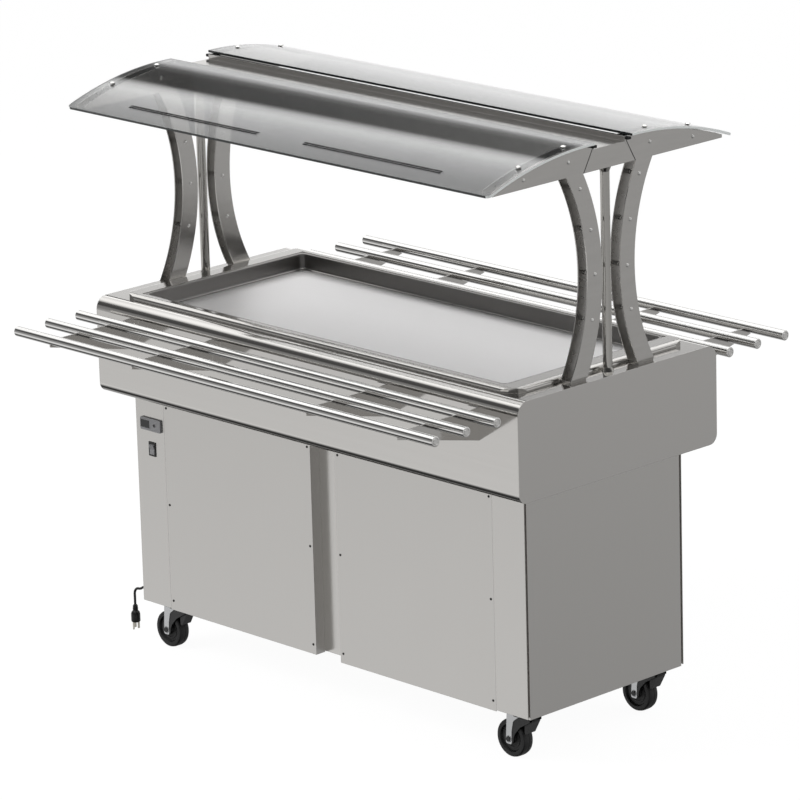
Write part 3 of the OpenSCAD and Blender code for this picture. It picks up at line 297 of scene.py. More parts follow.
def window_gloss():
    """Smoked acrylic, polished: deep black with a clear reflection."""
    base = srgb("#08090A")
    return textured("acrylic_polished_smoked", base, 0.0, 0.08, even(0.003333), 0.000003, 0.05, 0.03,
                    edge=False, IOR=1.49)


def brass():
    """Brass rod, nickel plated: pale metal with a warm cast."""
    base = srgb("#D6D2C8")
    return textured("brass_nickel_plated", base, 1.0, 0.24, along("Z", 0.0008, 0.02), 0.00001, 0.1, 0.05)


def copper():
    """Copper tube, drawn: tarnish in slow clouds over a bright tube."""
    base = colours().copper[:]
    return textured("copper_drawn", base, 1.0, 0.26, even(0.025), 0.00002, 0.3, 0.12, edge=False)


def foam():
    """Polyurethane foam, poured: fine cells in a dull skin."""
    return moulded("polyurethane_foamed", colours().foam[:], 0.85, 0.004, 0.0004, 1.5)


def enamel():
    """Steel shell, stove enamelled black: smooth with slight orange peel."""
    base = srgb("#1D1E20")
    return moulded("steel_enamelled_black", base, 0.3, 0.006, 0.00008, 1.5, **{"Coat Weight": 0.4})


def fins():
    """Aluminium foil, stamped: light and matt with small dents."""
    base = srgb("#C8CACC")
    return textured("aluminium_stamped", base, 1.0, 0.4, even(0.01111), 0.0001, 0.15, 0.1, edge=False)


def tinted_glass():
    """Soda-lime float glass, toughened: clear, its grey tint painted shade that darkens the view through it,
    with bright edges of reflection.
    """
    name = "glass_float_toughened"
    material, tree, shader = start_material(
        name, colours().glass[:], 0.0, 0.0, IOR=1.52, **{"Transmission Weight": 1.0})
    if tree:
        # Roller waves of toughening, 91 mm apart and 0.5 m long, seen only as a faint change of the tint
        place = add(tree, "TexCoord")
        mapping = add(tree, "Mapping", {
            "Vector": place.outputs["Object"], "Scale": along("X", pitch=0.5, length=0.09091)})
        wave = add(tree, "TexNoise", {
            "Vector": mapping.outputs["Vector"], "Scale": 1.0, "Detail": 1.0})
        tint = add(tree, "MapRange", {
            "Value": wave.outputs["Fac"], "From Min": 0.3, "From Max": 0.7, "To Min": 0.97, "To Max": 1.0})
        paint = add(tree, "Mix", {6: (*colours().glass, 1.0), 7: tint.outputs["Result"], 0: 1.0},
                    data_type="RGBA", blend_type="MULTIPLY")
        tree.links.new(paint.outputs[2], shader.inputs["Base Color"])
    return material


def ground_edge():
    """Float glass, edge ground: white and finely frosted, it catches the light at the ends."""
    base = srgb("#DDE0DF")
    return textured(
        "glass_edge_ground", base, 0.0, 0.35, even(0.001111), 0.00001, 0.06, 0.08, edge=False, IOR=1.52)


def dark_edge():
    """Float glass, edge polished: drawn opaque and almost black, as painted shade on the edge and in the gap
    beside it.
    """
    base = srgb("#1C2020")
    return textured(
        "glass_edge_polished", base, 0.0, 0.12, even(0.003333), 0.000004, 0.1, 0.04, edge=False, IOR=1.52)


def ceramic_line():
    """Ceramic frit, screened and fired on the glass: dark, dense and slightly raised."""
    return moulded("ceramic_frit_fired", colours().stripe[:], 0.7, 0.0008, 0.00001, 1.5,
                   **{"Specular IOR Level": 0.2})


# Meshes

def link_object(name, data):
    """Puts a new object with its data in the scene."""
    item = bpy.data.objects.new(name, data)
    bpy.context.scene.collection.objects.link(item)
    return item


def new_object(name, shape, material, body, smooth=32.0, replaces=()):
    """Makes a piece from points and faces in the frame's metres, and lets it ride on a body."""
    verts, faces = shape
    mesh = bpy.data.meshes.new(name)
    mesh.from_pydata([tuple(v) for v in verts], [], faces)
    mesh.validate()
    for polygon in mesh.polygons:
        polygon.use_smooth = True
    mesh.set_sharp_from_angle(angle=math.radians(smooth))
    mesh.materials.append(material)
    piece = link_object(name, mesh)
    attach(piece, body)
    if replaces:
        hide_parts(*replaces)
    return piece


def join(shapes):
    """Joins lists of points and faces into one."""
    verts, faces = [], []
    for points, polygons in shapes:
        start = len(verts)
        verts += points
        faces += [tuple(i + start for i in polygon) for polygon in polygons]
    return verts, faces


def loft(verts, count, first=True, last=True):
    """Joins rings of points with faces, and closes the first and the last of them."""
    rings = len(verts) // count
    faces = []
    for i in range(rings - 1):
        for k in range(count):
            a, b = i * count + k, i * count + (k + 1) % count
            faces.append((a, b, b + count, a + count))
    if first:
        faces.append(tuple(range(count - 1, -1, -1)))
    if last:
        faces.append(tuple((rings - 1) * count + k for k in range(count)))
    return verts, faces


def lathe(profile, centre, axis, steps=48):
    """Turns a profile of radius and height round an axis through the centre."""
    turn = Vector(axis).normalized().to_track_quat("Z", "Y").to_matrix()
    verts = []
    for radius, height in profile:
        for k in range(steps):
            a = 2 * math.pi * k / steps
            verts.append(turn @ Vector((radius * math.cos(a), radius * math.sin(a), height)) + Vector(centre))
    return loft(verts, steps)


def rounded(points, radius, steps=4):
    """Rounds the corners of a closed outline."""
    result = []
    count = len(points)
    for i in range(count):
        before, here, after = (Vector(points[(i + k - 1) % count]) for k in range(3))
        into, out = before - here, after - here
        reach = min(radius, into.length * 0.45, out.length * 0.45)
        first, last = here + into.normalized() * reach, here + out.normalized() * reach
        for k in range(steps + 1):
            t = k / steps
            result.append((1 - t) ** 2 * first + 2 * t * (1 - t) * here + t ** 2 * last)
    return result


def prism(outline, low, high, axis, edge=0.0):
    """Draws an outline out between two heights along an axis, with softened edges."""
    points = [Vector(p) for p in outline]
    centre = sum(points, Vector((0, 0))) / len(points)
    rings = [(low, 0.0), (high, 0.0)]
    if edge:
        rings = [(low, edge), (low + edge, 0.0), (high - edge, 0.0), (high, edge)]
    verts = []
    for height, inset in rings:
        for p in points:
            away = p - centre
            q = p - away.normalized() * inset if away.length > inset else p
            place = list(q)
            place.insert("XYZ".index(axis), height)
            verts.append(tuple(place))
    return loft(verts, len(points))


def box_outline(x0, x1, y0, y1, radius, steps=4):
    return rounded([(x0, y0), (x1, y0), (x1, y1), (x0, y1)], radius, steps)


def hex_bolt(centre, axis, radius, height):
    """A chamfered hexagon head on a washer."""
    across = radius * math.cos(math.pi / 6)
    washer = lathe([(radius * 1.12, 0.0), (radius * 1.16, height * 0.1), (radius * 1.1, height * 0.22)],
                   centre, axis, 32)
    head = lathe([(radius, height * 0.22), (radius, height * 0.82), (across * 0.98, height),
                  (across * 0.6, height)], centre, axis, 6)
    return join([washer, head])


def give(material, *nodes):
    """Gives carried-over solids their material."""
    for name in nodes:
        slots = NODES[name].data.materials
        for i in range(len(slots)):
            slots[i] = material
        if not slots:
            slots.append(material)


# Cord

CORD_ROUTE = [
    (-0.716, -0.245, 0.147), (-0.721, -0.245, 0.147), (-0.725, -0.245, 0.145), (-0.730, -0.245, 0.142),
    (-0.735, -0.245, 0.140), (-0.740, -0.245, 0.139), (-0.746, -0.245, 0.138), (-0.751, -0.245, 0.135),
    (-0.755, -0.245, 0.130), (-0.757, -0.245, 0.123), (-0.757, -0.245, 0.115), (-0.757, -0.245, 0.107),
    (-0.757, -0.245, 0.099), (-0.757, -0.245, 0.092),
]


class SALADBAR_OT_cord(Operator):
    """Make the mains cord with its gland and plug"""

    bl_idname = "salad_bar.cord"
    bl_label = "Mains Cord"

    def execute(self, context):
        diameter = 0.0065
        points = self.route()
        lead = new_object("mains_lead", self.tube(points, diameter), cord_sheath(), "cart",
                          replaces=("power_cord",))

        # Moulded plug: grip ribs at the neck, soft shoulders and a flat parting line
        low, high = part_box("plug_body")
        x, y, _ = (low + high) / 2
        r = (high.x - low.x) / 2
        top, foot = high.z, low.z
        neck = [(0.0050, top), (0.0050, top - 0.0015)]
        for i in range(4):
            z = top - 0.002 - i * 0.0032
            neck += [(0.0064 + 0.0003 * i, z), (0.0064 + 0.0003 * i, z - 0.0018),
                     (0.0051 + 0.0003 * i, z - 0.002), (0.0051 + 0.0003 * i, z - 0.003)]
        grip = neck + [(0.0080, top - 0.0165), (0.0108, top - 0.0200), (r - 0.0002, top - 0.0240),
                       (r, top - 0.0270), (r, foot + 0.0030), (r - 0.0006, foot + 0.0012), (r - 0.0018, foot)]
        grip = [(radius, z - foot) for radius, z in reversed(grip)]
        plug = new_object("plug_moulding", lathe(grip, (x, y, foot), (0, 0, 1), 40), black_plastic(), "cart",
                          replaces=("plug_body",))

        # Strain relief with ribs that taper to the lead
        low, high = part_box("cord_gland")
        y, z = (low.y + high.y) / 2, (low.z + high.z) / 2
        tail = [(0.0110, 0.0), (0.0110, 0.0014), (0.0104, 0.0020), (0.0090, 0.0021), (0.0090, 0.0058),
                (0.0082, 0.0062)]
        for i in range(5):
            h, w = 0.0070 + i * 0.0034, 0.0080 - i * 0.0007
            tail += [(w, h), (w - 0.0002, h + 0.0018), (w - 0.0012, h + 0.0020), (w - 0.0013, h + 0.0032)]
        tail += [(0.0042, 0.0255), (0.0036, 0.0260)]
        new_object("cord_relief", lathe(tail, (high.x, y, z), (-1, 0, 0), 36), black_plastic(), "cart",
                   replaces=("cord_gland",))
        give(brass(), "plug_pins")
        return {"FINISHED"}

    def route(self):
        """Smooth curve through the route's points, in four steps each."""
        points = []
        for i in range(len(CORD_ROUTE) - 1):
            a, b, c, d = (Vector(CORD_ROUTE[min(max(i + k, 0), len(CORD_ROUTE) - 1)]) for k in (-1, 0, 1, 2))
            for t in (0.0, 0.25, 0.5, 0.75):
                points.append(0.5 * (2 * b + (c - a) * t + (2 * a - 5 * b + 4 * c - d) * t ** 2
                                     + (3 * b - 3 * c + d - a) * t ** 3))
        return points + [Vector(CORD_ROUTE[-1])]

    def tube(self, points, diameter):
        """Round sheath along the points."""
        steps = 20
        side = Vector((0, 1, 0))
        verts = []
        for i, p in enumerate(points):
            run = (points[min(i + 1, len(points) - 1)] - points[max(i - 1, 0)]).normalized()
            up = run.cross(side)
            for k in range(steps):
                a = 2 * math.pi * k / steps
                verts.append(p + diameter / 2 * (math.cos(a) * side + math.sin(a) * up))
        return loft(verts, steps)


# Camera of the photo: focal length and width in pixels, sensor in millimetres, place and axes
PHOTO_FOCAL = 5010.59
PHOTO_WIDTH = 800
SENSOR = 36.0
CAMERA_PLACE = (8.6072, -8.2461, 4.1546)
CAMERA_RIGHT = Vector((0.69689, 0.71670, -0.02650))
CAMERA_BACK = Vector((0.69416, -0.66476, 0.27614))
# Half the side of the floor, and the background's colour
FLOOR_REACH = 9.0
WHITE = (*srgb("#FFFFFF"), 1.0)
# Name, place, width and power of each lamp, and the point that they light
LAMPS = (("key_lamp", (-3.2, -4.2, 4.6), 3.2, 210.0), ("fill_lamp", (4.6, 2.6, 4.0), 3.6, 70.0))
LAMP_AIM = Vector((0, 0, 0.8))

# Light of the room, by height of the direction in which the metal looks
ROOM_LIGHT = 2.5
ROOM_FRONT = [(-1.0, 0.03), (-0.6, 0.05), (-0.5, 0.6), (-0.42, 0.98), (-0.32, 0.95), (-0.22, 0.78),
              (-0.12, 0.5), (0.0, 0.34), (0.22, 0.3), (0.32, 0.08), (0.56, 0.12), (0.62, 1.0), (0.68, 1.7),
              (0.82, 1.5), (0.9, 2.2), (1.0, 2.4)]
ROOM_BACK = [(-1.0, 0.3), (-0.5, 0.5), (-0.28, 0.85), (-0.1, 1.1), (0.0, 1.15), (0.24, 1.2), (0.29, 0.25),
             (0.33, 0.1), (0.42, 0.1), (0.45, 1.5), (0.48, 2.1), (0.55, 1.5), (0.62, 1.1), (0.70, 1.7),
             (0.82, 1.5), (0.9, 2.2), (1.0, 2.4)]
# Light of what shows through the glass from above
ROOM_BEHIND = 0.13


class SALADBAR_OT_stage(Operator):
    """Make the floor, the light and the camera"""

    bl_idname = "salad_bar.stage"
    bl_label = "Stage"

    def execute(self, context):
        scene = context.scene
        lens = bpy.data.cameras.new("camera")
        lens.sensor_width = SENSOR
        lens.lens = PHOTO_FOCAL / PHOTO_WIDTH * SENSOR
        lens.clip_end = 100.0
        camera = link_object("camera", lens)
        back = CAMERA_BACK.normalized()
        up = back.cross(CAMERA_RIGHT.normalized()).normalized()
        turn = Matrix((up.cross(back), up, back)).transposed().to_4x4()
        camera.matrix_world = Matrix.Translation(CAMERA_PLACE) @ turn
        scene.camera = camera

        verts = [(x * FLOOR_REACH, y * FLOOR_REACH, 0.0) for x, y in ((-1, -1), (1, -1), (1, 1), (-1, 1))]
        mesh = bpy.data.meshes.new("floor")
        mesh.from_pydata(verts, [], [(0, 1, 2, 3)])
        floor = link_object("floor", mesh)
        mesh.materials.append(self.floor_material())
        self.light_world(scene)
        for lamp in LAMPS:
            self.lamp(*lamp)
        scene.view_settings.view_transform = "Standard"
        return {"FINISHED"}

    def floor_material(self):
        """Painted board, matt white: shown white, with the object's shadow kept faint."""
        material = bpy.data.materials.new("board_painted_white")
        tree = empty_tree(material)
        path = add(tree, "LightPath")
        matt = add(tree, "BsdfDiffuse", {"Color": (*srgb("#E7E7E7"), 1.0)})
        white = add(tree, "Emission", {"Color": WHITE, "Strength": 1.06})
        shown = add(tree, "MixShader", {0: 0.1, 1: white.outputs[0], 2: matt.outputs[0]})
        # A reflection passes on to the room; a look through the glass meets the matt board
        clear = add(tree, "BsdfTransparent")
        first = add(tree, "MixShader", {
            0: path.outputs["Is Camera Ray"], 1: matt.outputs[0], 2: shown.outputs[0]})
        last = add(tree, "MixShader", {
            0: path.outputs["Is Glossy Ray"], 1: first.outputs[0], 2: clear.outputs[0]})
        add(tree, "OutputMaterial", {"Surface": last.outputs[0]})
        return material

    def light_world(self, scene):
        """A dim room in front, a white cove behind and soft boxes overhead, as the metal shows them."""
        world = bpy.data.worlds.new("studio")
        scene.world = world
        tree = empty_tree(world)
        path = add(tree, "LightPath")
        place = add(tree, "TexCoord")
        parts = add(tree, "SeparateXYZ", {"Vector": place.outputs["Generated"]})
        rise = add(tree, "MapRange", {
            "Value": parts.outputs["Z"], "From Min": -1.0, "From Max": 1.0})
        # Brightness of the room by height, from -1 straight down to 1 straight up
        halves = []
        for stops in (ROOM_FRONT, ROOM_BACK):
            ramp = add(tree, "ValToRGB", {"Fac": rise.outputs["Result"]})
            elements = ramp.color_ramp.elements
            while len(elements) < len(stops):
                elements.new(0.5)
            for element, (height, level) in zip(elements, stops):
                element.position = (height + 1) / 2
                element.color = (*[level / ROOM_LIGHT] * 3, 1.0)
            halves.append(ramp.outputs["Color"])
        depth = add(tree, "MapRange", {"Value": parts.outputs["Y"], "From Min": -0.12, "From Max": 0.12},
                    interpolation_type="SMOOTHSTEP")
        both = add(tree, "Mix", {0: depth.outputs["Result"], 6: halves[0], 7: halves[1]}, data_type="RGBA")
        # The end of the room towards +X is darker, most of all at the back
        dark = add(tree, "MapRange", {
            "Value": parts.outputs["Y"], "From Min": -0.5, "From Max": 0.5, "To Min": 0.7, "To Max": 0.58})
        share = add(tree, "MapRange", {
            "Value": parts.outputs["X"], "From Min": -0.2, "From Max": 0.45, "To Min": 1.0,
            "To Max": dark.outputs["Result"]}, interpolation_type="SMOOTHSTEP")
        level = add(tree, "Math", {0: share.outputs["Result"], 1: ROOM_LIGHT}, operation="MULTIPLY")
        mirror = add(tree, "Background", {
            "Color": both.outputs[2], "Strength": level.outputs["Value"]})
        plain, white, dim = (add(tree, "Background", {"Color": WHITE, "Strength": strength})
                             for strength in (0.5, 1.0, ROOM_BEHIND))
        first = add(tree, "MixShader", {
            0: path.outputs["Is Camera Ray"], 1: plain.outputs[0], 2: white.outputs[0]})
        second = add(tree, "MixShader", {
            0: path.outputs["Is Glossy Ray"], 1: first.outputs[0], 2: mirror.outputs[0]})
        # A look down through the glass ends in the dim; one that its lower face turns up does not
        down = add(tree, "Math", {0: parts.outputs["Z"], 1: 0.0}, operation="LESS_THAN")
        through = add(tree, "Math", {
            0: path.outputs["Is Transmission Ray"], 1: down.outputs["Value"]}, operation="MULTIPLY")
        last = add(tree, "MixShader", {
            0: through.outputs["Value"], 1: second.outputs[0], 2: dim.outputs[0]})
        add(tree, "OutputWorld", {"Surface": last.outputs[0]})

    def lamp(self, name, place, width, power):
        light = bpy.data.lights.new(name, "AREA")
        light.size = width
        light.energy = power
        lamp = link_object(name, light)
        aim = LAMP_AIM - Vector(place)
        lamp.matrix_world = Matrix.Translation(place) @ aim.to_track_quat("-Z", "Y").to_matrix().to_4x4()
        lamp.visible_glossy = False
        lamp.visible_transmission = False


class SALADBAR_OT_sheet_steel(Operator):
    """Finish the casing, the rim and the body's panels"""

    bl_idname = "salad_bar.sheet_steel"
    bl_label = "Sheet Steel"

    # Columns of the screws along the body, and the radius of a head
    columns = (-0.574, -0.054, 0.054, 0.574)
    head_r = 0.0032

    def execute(self, context):
        give(mirror_sheet("X"), "casing_skin")
        give(brushed_sheet("Y", 0.2), "casing_ends")
        give(brushed_sheet("X", 0.14), "well_rim")
        give(brushed_sheet("Z", 0.26), "post_front_left", "post_front_right", "posts_back")
        give(brushed_sheet("Z", 0.2), "centre_channels")
        give(brushed_sheet("Z", 0.28), "panel_front_left", "panel_front_right", "panels_back", "end_panels")
        give(brushed_sheet("X", 0.3), "base_plate")
        shapes = []
        low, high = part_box("panel_screws")
        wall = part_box("post_front_right")[0].y
        for x in self.columns:
            for z in (low.z + self.head_r, (low.z + high.z) / 2, high.z - self.head_r):
                for side in (-1, 1):
                    shapes.append(self.screw((x, -side * wall, z), (0, side, 0)))
        new_object("panel_screw_heads", join(shapes), blackened_steel(), "cart",
                   replaces=("panel_screws",))
        return {"FINISHED"}

    def screw(self, centre, axis):
        """Domed head with a raised rim round a recess."""
        return lathe([(self.head_r, 0.0), (self.head_r, 0.0004), (0.0027, 0.0011), (0.0018, 0.0015),
                      (0.0014, 0.0015), (0.0011, 0.0007), (0.0002, 0.0006)], centre, axis, 20)


class SALADBAR_OT_well(Operator):
    """Make the drawn pan of the well with its strainer"""

    bl_idname = "salad_bar.well"
    bl_label = "Well"

    # Sheet of the pan, half length and half width of its opening, and the bend at its lip
    sheet = 0.0015
    in_x, in_y = 0.633, 0.268
    lip = 0.003

    def execute(self, context):
        low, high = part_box("well_pan")
        floor_z = low.z + self.sheet
        rim_x, rim_y = high.x, high.y
        in_x, in_y, edge = self.in_x, self.in_y, self.lip
        s = sizes()
        loops = [(rim_x, rim_y, 0.004, low.z + 0.016), (rim_x, rim_y, 0.004, high.z - 0.0012),
                 (rim_x - 0.0012, rim_y - 0.0012, 0.004, high.z)]
        loops.append((in_x + edge + 0.0004, in_y + edge + 0.0004, s.pan_corner, high.z))
        for k in range(5):
            a = math.pi / 2 * k / 4
            inset = edge * (1 - math.sin(a))
            loops.append((in_x + inset, in_y + inset, s.pan_corner, high.z - edge * (1 - math.cos(a))))
        for k in range(7):
            a = math.pi / 2 * k / 6
            inset = s.pan_cove * (1 - math.cos(a))
            loops.append((in_x - inset, in_y - inset, s.pan_corner, floor_z + s.pan_cove * (1 - math.sin(a))))
        steps = 8
        verts = [(p[0], p[1], z) for half_x, half_y, radius, z in loops
                 for p in box_outline(-half_x, half_x, -half_y, half_y, radius, steps)]
        # One pan steel in two colours: the walls darker as painted shade, the floor lighter as painted light
        wall_steel = pan_steel("stainless_pan_wall", colours().pan_wall[:], 0.3)
        floor_steel = pan_steel("stainless_pan_floor", colours().pan_floor[:], 0.5)
        pan = new_object("drawn_pan", loft(verts, 4 * (steps + 1), first=False), wall_steel, "cart",
                         40.0, replaces=("well_pan",))
        pan.data.materials.append(floor_steel)
        pan.data.polygons[len(pan.data.polygons) - 1].material_index = 1

        # Strainer: a dished disc in the floor, with three rings of holes shown as black cups, painted shade
        # inside the holes
        low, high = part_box("drain_pipe")
        x, y = (low.x + high.x) / 2, (low.y + high.y) / 2
        disc = lathe([(0.0135, -0.0008), (0.0135, 0.0001), (0.0125, 0.0004), (0.0110, 0.0002),
                      (0.0100, -0.0004), (0.0005, -0.0006)], (x, y, floor_z), (0, 0, 1), 48)
        new_object("strainer", disc, floor_steel, "cart")
        holes = []
        for ring, number in ((0.0030, 6), (0.0060, 12), (0.0088, 16)):
            for k in range(number):
                a = 2 * math.pi * k / number
                place = (x + ring * math.cos(a), y + ring * math.sin(a), floor_z - 0.0005)
                holes.append(lathe([(0.0008, 0.0), (0.0008, 0.0002), (0.0001, 0.0001)], place, (0, 0, 1), 12))
        new_object("strainer_holes_painted_shade", join(holes), black_plastic(), "cart")
        give(brushed_sheet("Z", 0.26), "drain_pipe")
        return {"FINISHED"}


class SALADBAR_OT_rails(Operator):
    """Make the end caps and bolts of the tray rails, and finish the tubes and brackets"""

    bl_idname = "salad_bar.rails"
    bl_label = "Tray Rails"

    # Places of the tubes across and depth of a cap; places of the bolts along the casing and on its
    # wall, and the size of their heads
    tube_y = (-0.6, -0.5, -0.4, 0.4, 0.5, 0.6)
    cap_depth = 0.003
    bolt_x = (0.294, 0.6)
    bolt_y = 0.344
    bolt_r, bolt_h = 0.006, 0.004

    def execute(self, context):
        give(polished_steel(), "front_rail_tubes", "back_rail_tubes")
        give(mirror_sheet("Y"), "front_brackets", "back_brackets")
        radius = 0.0127
        ring = sizes().cap_ring
        cap = [(radius, -0.0005), (radius, 0.0021), (radius - 0.0004, 0.0027), (radius - 0.0012, 0.0030),
               (ring + 0.0009, 0.0030), (ring + 0.0004, 0.0022), (ring - 0.0004, 0.0022),
               (ring - 0.0009, 0.0030), (0.0030, 0.0030), (0.0005, 0.0029)]
        rail_z = middle("front_rail_tubes").z
        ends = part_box("rail_end_caps")
        shapes = []
        for end, x in ((-1, ends[0].x + self.cap_depth), (1, ends[1].x - self.cap_depth)):
            for y in self.tube_y:
                shapes.append(lathe(cap, (x, y, rail_z), (end, 0, 0), 40))
        new_object("rail_caps", join(shapes), polished_steel(), "cart",
                   replaces=("rail_end_caps",))
        bolts = []
        low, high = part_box("bracket_bolts")
        for side in (-1, 1):
            for end in (-1, 1):
                for x in self.bolt_x:
                    for z in (low.z + 0.0052, high.z - 0.0052):
                        place = (end * x, side * self.bolt_y, z)
                        bolts.append(hex_bolt(place, (0, side, 0), self.bolt_r, self.bolt_h))
        new_object("bracket_hex_bolts", join(bolts), polished_steel(), "cart",
                   replaces=("bracket_bolts",))
        return {"FINISHED"}


class SALADBAR_OT_guard(Operator):
    """Make the spacers and cap nuts of the guard, and finish its plates and poles"""

    bl_idname = "salad_bar.guard"
    bl_label = "Guard"

    # Outer and inner faces of a pair of cheeks along X, half the spine's top, and a cheek's sheet
    outer, inner = 0.726, 0.693
    spine_top = 0.052
    sheet = 0.003
    # Arch of the spacers: its middle across, its radius, and how far its middle is under the spine
    arch_y, arch_r, arch_drop = 0.5853, 0.53, 0.249

    def execute(self, context):
        give(guard_sheet(), "left_cheeks", "right_cheeks", "spine_end_plates")
        give(brushed_sheet("X", 0.22), "post_feet")
        give(brushed_sheet("X", 0.16), "spine_beam")
        # Centre poles: a darker base as painted dark reflection
        give(drawn_tube(), "centre_poles")
        give(polished_steel(), "glass_standoffs")
        outer, inner = self.outer, self.inner
        for node in ("left_cheeks", "right_cheeks"):
            mesh = NODES[node].data
            mesh.materials.append(mill_sheet())
            for polygon in mesh.polygons:
                if inner + 0.001 < abs(polygon.center.x) < outer - 0.001 and abs(polygon.normal.x) > 0.9:
                    polygon.material_index = len(mesh.materials) - 1
        tube = [(0.0052, 0.0), (0.0060, 0.0006), (0.0060, 0.0035), (0.0053, 0.0042), (0.0053, 0.0228),
                (0.0060, 0.0235), (0.0060, 0.0264), (0.0052, 0.0270)]
        nut = [(0.0050, 0.0), (0.0050, 0.0004), (0.0043, 0.0006), (0.0043, 0.0012), (0.0036, 0.0019),
               (0.0020, 0.0024), (0.0003, 0.0025)]
        shapes = []
        for end in (-1, 1):
            for side in (-1, 1):
                for y, z in self.places():
                    place = (end * (inner + self.sheet), side * y, z)
                    shapes.append(lathe(tube, place, (end, 0, 0), 24))
                    shapes.append(lathe(nut, (end * outer, side * y, z), (end, 0, 0), 24))
                    shapes.append(lathe(nut, (end * inner, side * y, z), (-end, 0, 0), 24))
        self.seams()
        new_object("guard_cap_nuts", join(shapes), polished_steel(), "cart",
                   replaces=("guard_spacers",))
        return {"FINISHED"}

    def seams(self):
        """Beads of sealant in the slanted joints between the spine's end plates and the wings."""
        low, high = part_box("spine_end_plates")
        shapes = []
        for end in (-1, 1):
            for side in (-1, 1):
                foot, head = Vector((side * high.y, low.z)), Vector((side * self.spine_top, high.z + 0.011))
                across = Vector((head.y - foot.y, foot.x - head.x)).normalized() * 0.0008
                bead = [foot - across, foot + across, head + across, head - across]
                x0, x1 = sorted((end * (self.outer - 0.0002), end * (self.outer + 0.0004)))
                shapes.append(prism(bead, x0, x1, "X"))
        new_object("guard_seams", join(shapes), sealant(), "cart")

    def places(self):
        """Across the width and up: four down each arch and two in each wing."""
        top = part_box("spine_beam")[0].z
        result = []
        for k in range(4):
            a = math.radians(-11.8 + 11.9 * k)
            result.append((self.arch_y - self.arch_r * math.cos(a),
                           top - self.arch_drop + self.arch_r * math.sin(a)))
        return result + [(0.138, top + 0.036), (0.287, top + 0.0215)]


class SALADBAR_OT_glass(Operator):
    """Make the curved panes with ground edges, and lay the fired lines on the front one"""

    bl_idname = "salad_bar.glass"
    bl_label = "Glass"

    # Bend of the panes and the middle of it across, their corner radius and thickness
    radius = 0.912
    mid_y = 0.080
    corner = 0.012
    thick = 0.006
    # Outer side of the spine's flanges, the first fired line across and the ends of its two runs
    flange = 0.052
    line_y = -0.3612
    line_runs = ((-0.555, -0.090), (0.071, 0.537))

    def execute(self, context):
        low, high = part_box("back_glass")
        self.crown_z = high.z
        for side, node in ((-1, "front_glass"), (1, "back_glass")):
            self.pane(side, node, low.y, high.y, high.x)
        # Setting strips between the spine's flanges and the panes' inner edges
        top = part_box("spine_beam")[1].z - 0.0008
        y0, y1 = self.flange + 0.0002, low.y - 0.0004
        shapes = []
        for side in (-1, 1):
            strip = [(side * y0, top - 0.0065), (side * y1, top - 0.0065), (side * y1, top - 0.0005),
                     (side * y0, top)]
            shapes.append(prism(strip if side > 0 else strip[::-1], -high.x + 0.004, high.x - 0.004, "X"))
        new_object("glass_setting_strips", join(shapes), sealant(), "cart")
        s = sizes()
        shapes = []
        for x0, x1 in self.line_runs:
            for k in (0, 1):
                shapes.append(self.line(x0, x1, self.line_y - k * s.stripe_gap, s.stripe_width))
        new_object("glass_lines", join(shapes), ceramic_line(), "cart")
        return {"FINISHED"}

    def height(self, y):
        return self.crown_z - self.radius + math.sqrt(self.radius ** 2 - (abs(y) - self.mid_y) ** 2)

    def pane(self, side, node, y0, y1, half_l):
        """A bent pane: upper and lower face of glass, long edges in painted shade, ends ground."""
        rows = [y0 + (y1 - self.corner - y0) * i / 40 for i in range(41)]
        rows += [y1 - self.corner * (1 - math.sin(math.pi / 2 * k / 8)) for k in range(1, 9)]
        arris = sizes().glass_edge
        rings = []
        for y in rows:
            over = max(0.0, y - (y1 - self.corner))
            x = half_l - self.corner + math.sqrt(max(0.0, self.corner ** 2 - over ** 2))
            lean = (y - self.mid_y) / self.radius
            up = math.sqrt(1 - lean * lean)
            ring = []
            for inset, depth in ((arris, 0.0), (0.0, arris), (0.0, self.thick - arris), (arris, self.thick)):
                ring.append((x - inset, y - lean * depth, self.height(y) - up * depth))
            rings.append(ring)
        # The long edges are cut upright, as the solid is
        for ring, edge_y in ((rings[0], y0), (rings[-1], y1)):
            ring[:] = [(x, edge_y, z) for x, _, z in ring]
        verts = []
        for ring in rings:
            verts += [(x, side * y, z) for x, y, z in ring]
            verts += [(-x, side * y, z) for x, y, z in reversed(ring)]
        faces, kinds = [], []
        for i in range(len(rings) - 1):
            for k in range(8):
                a, b = i * 8 + k, i * 8 + (k + 1) % 8
                faces.append((a, b, b + 8, a + 8) if side > 0 else (a, a + 8, b + 8, b))
                kinds.append(0 if k in (3, 7) else 2)
        first = tuple(range(8))
        last = tuple((len(rings) - 1) * 8 + k for k in range(7, -1, -1))
        faces += [first, last] if side < 0 else [first[::-1], last[::-1]]
        kinds += [1, 1]
        piece = new_object(node + "_pane", (verts, faces), tinted_glass(), "cart", 24.0,
                           replaces=(node,))
        piece.data.materials.append(dark_edge())
        piece.data.materials.append(ground_edge())
        for polygon, kind in zip(piece.data.polygons, kinds):
            polygon.material_index = kind

    def line(self, x0, x1, y, width):
        """A thin strip that lies on the glass."""
        thick, half = 0.00025, width / 2
        steps = 24
        verts = []
        for i in range(steps + 1):
            x = x0 + (x1 - x0) * i / steps
            for dy, dz in ((half, 0.0), (half, thick), (-half, thick), (-half, 0.0)):
                verts.append((x, y + dy, self.height(y + dy) + dz))
        return loft(verts, 4)


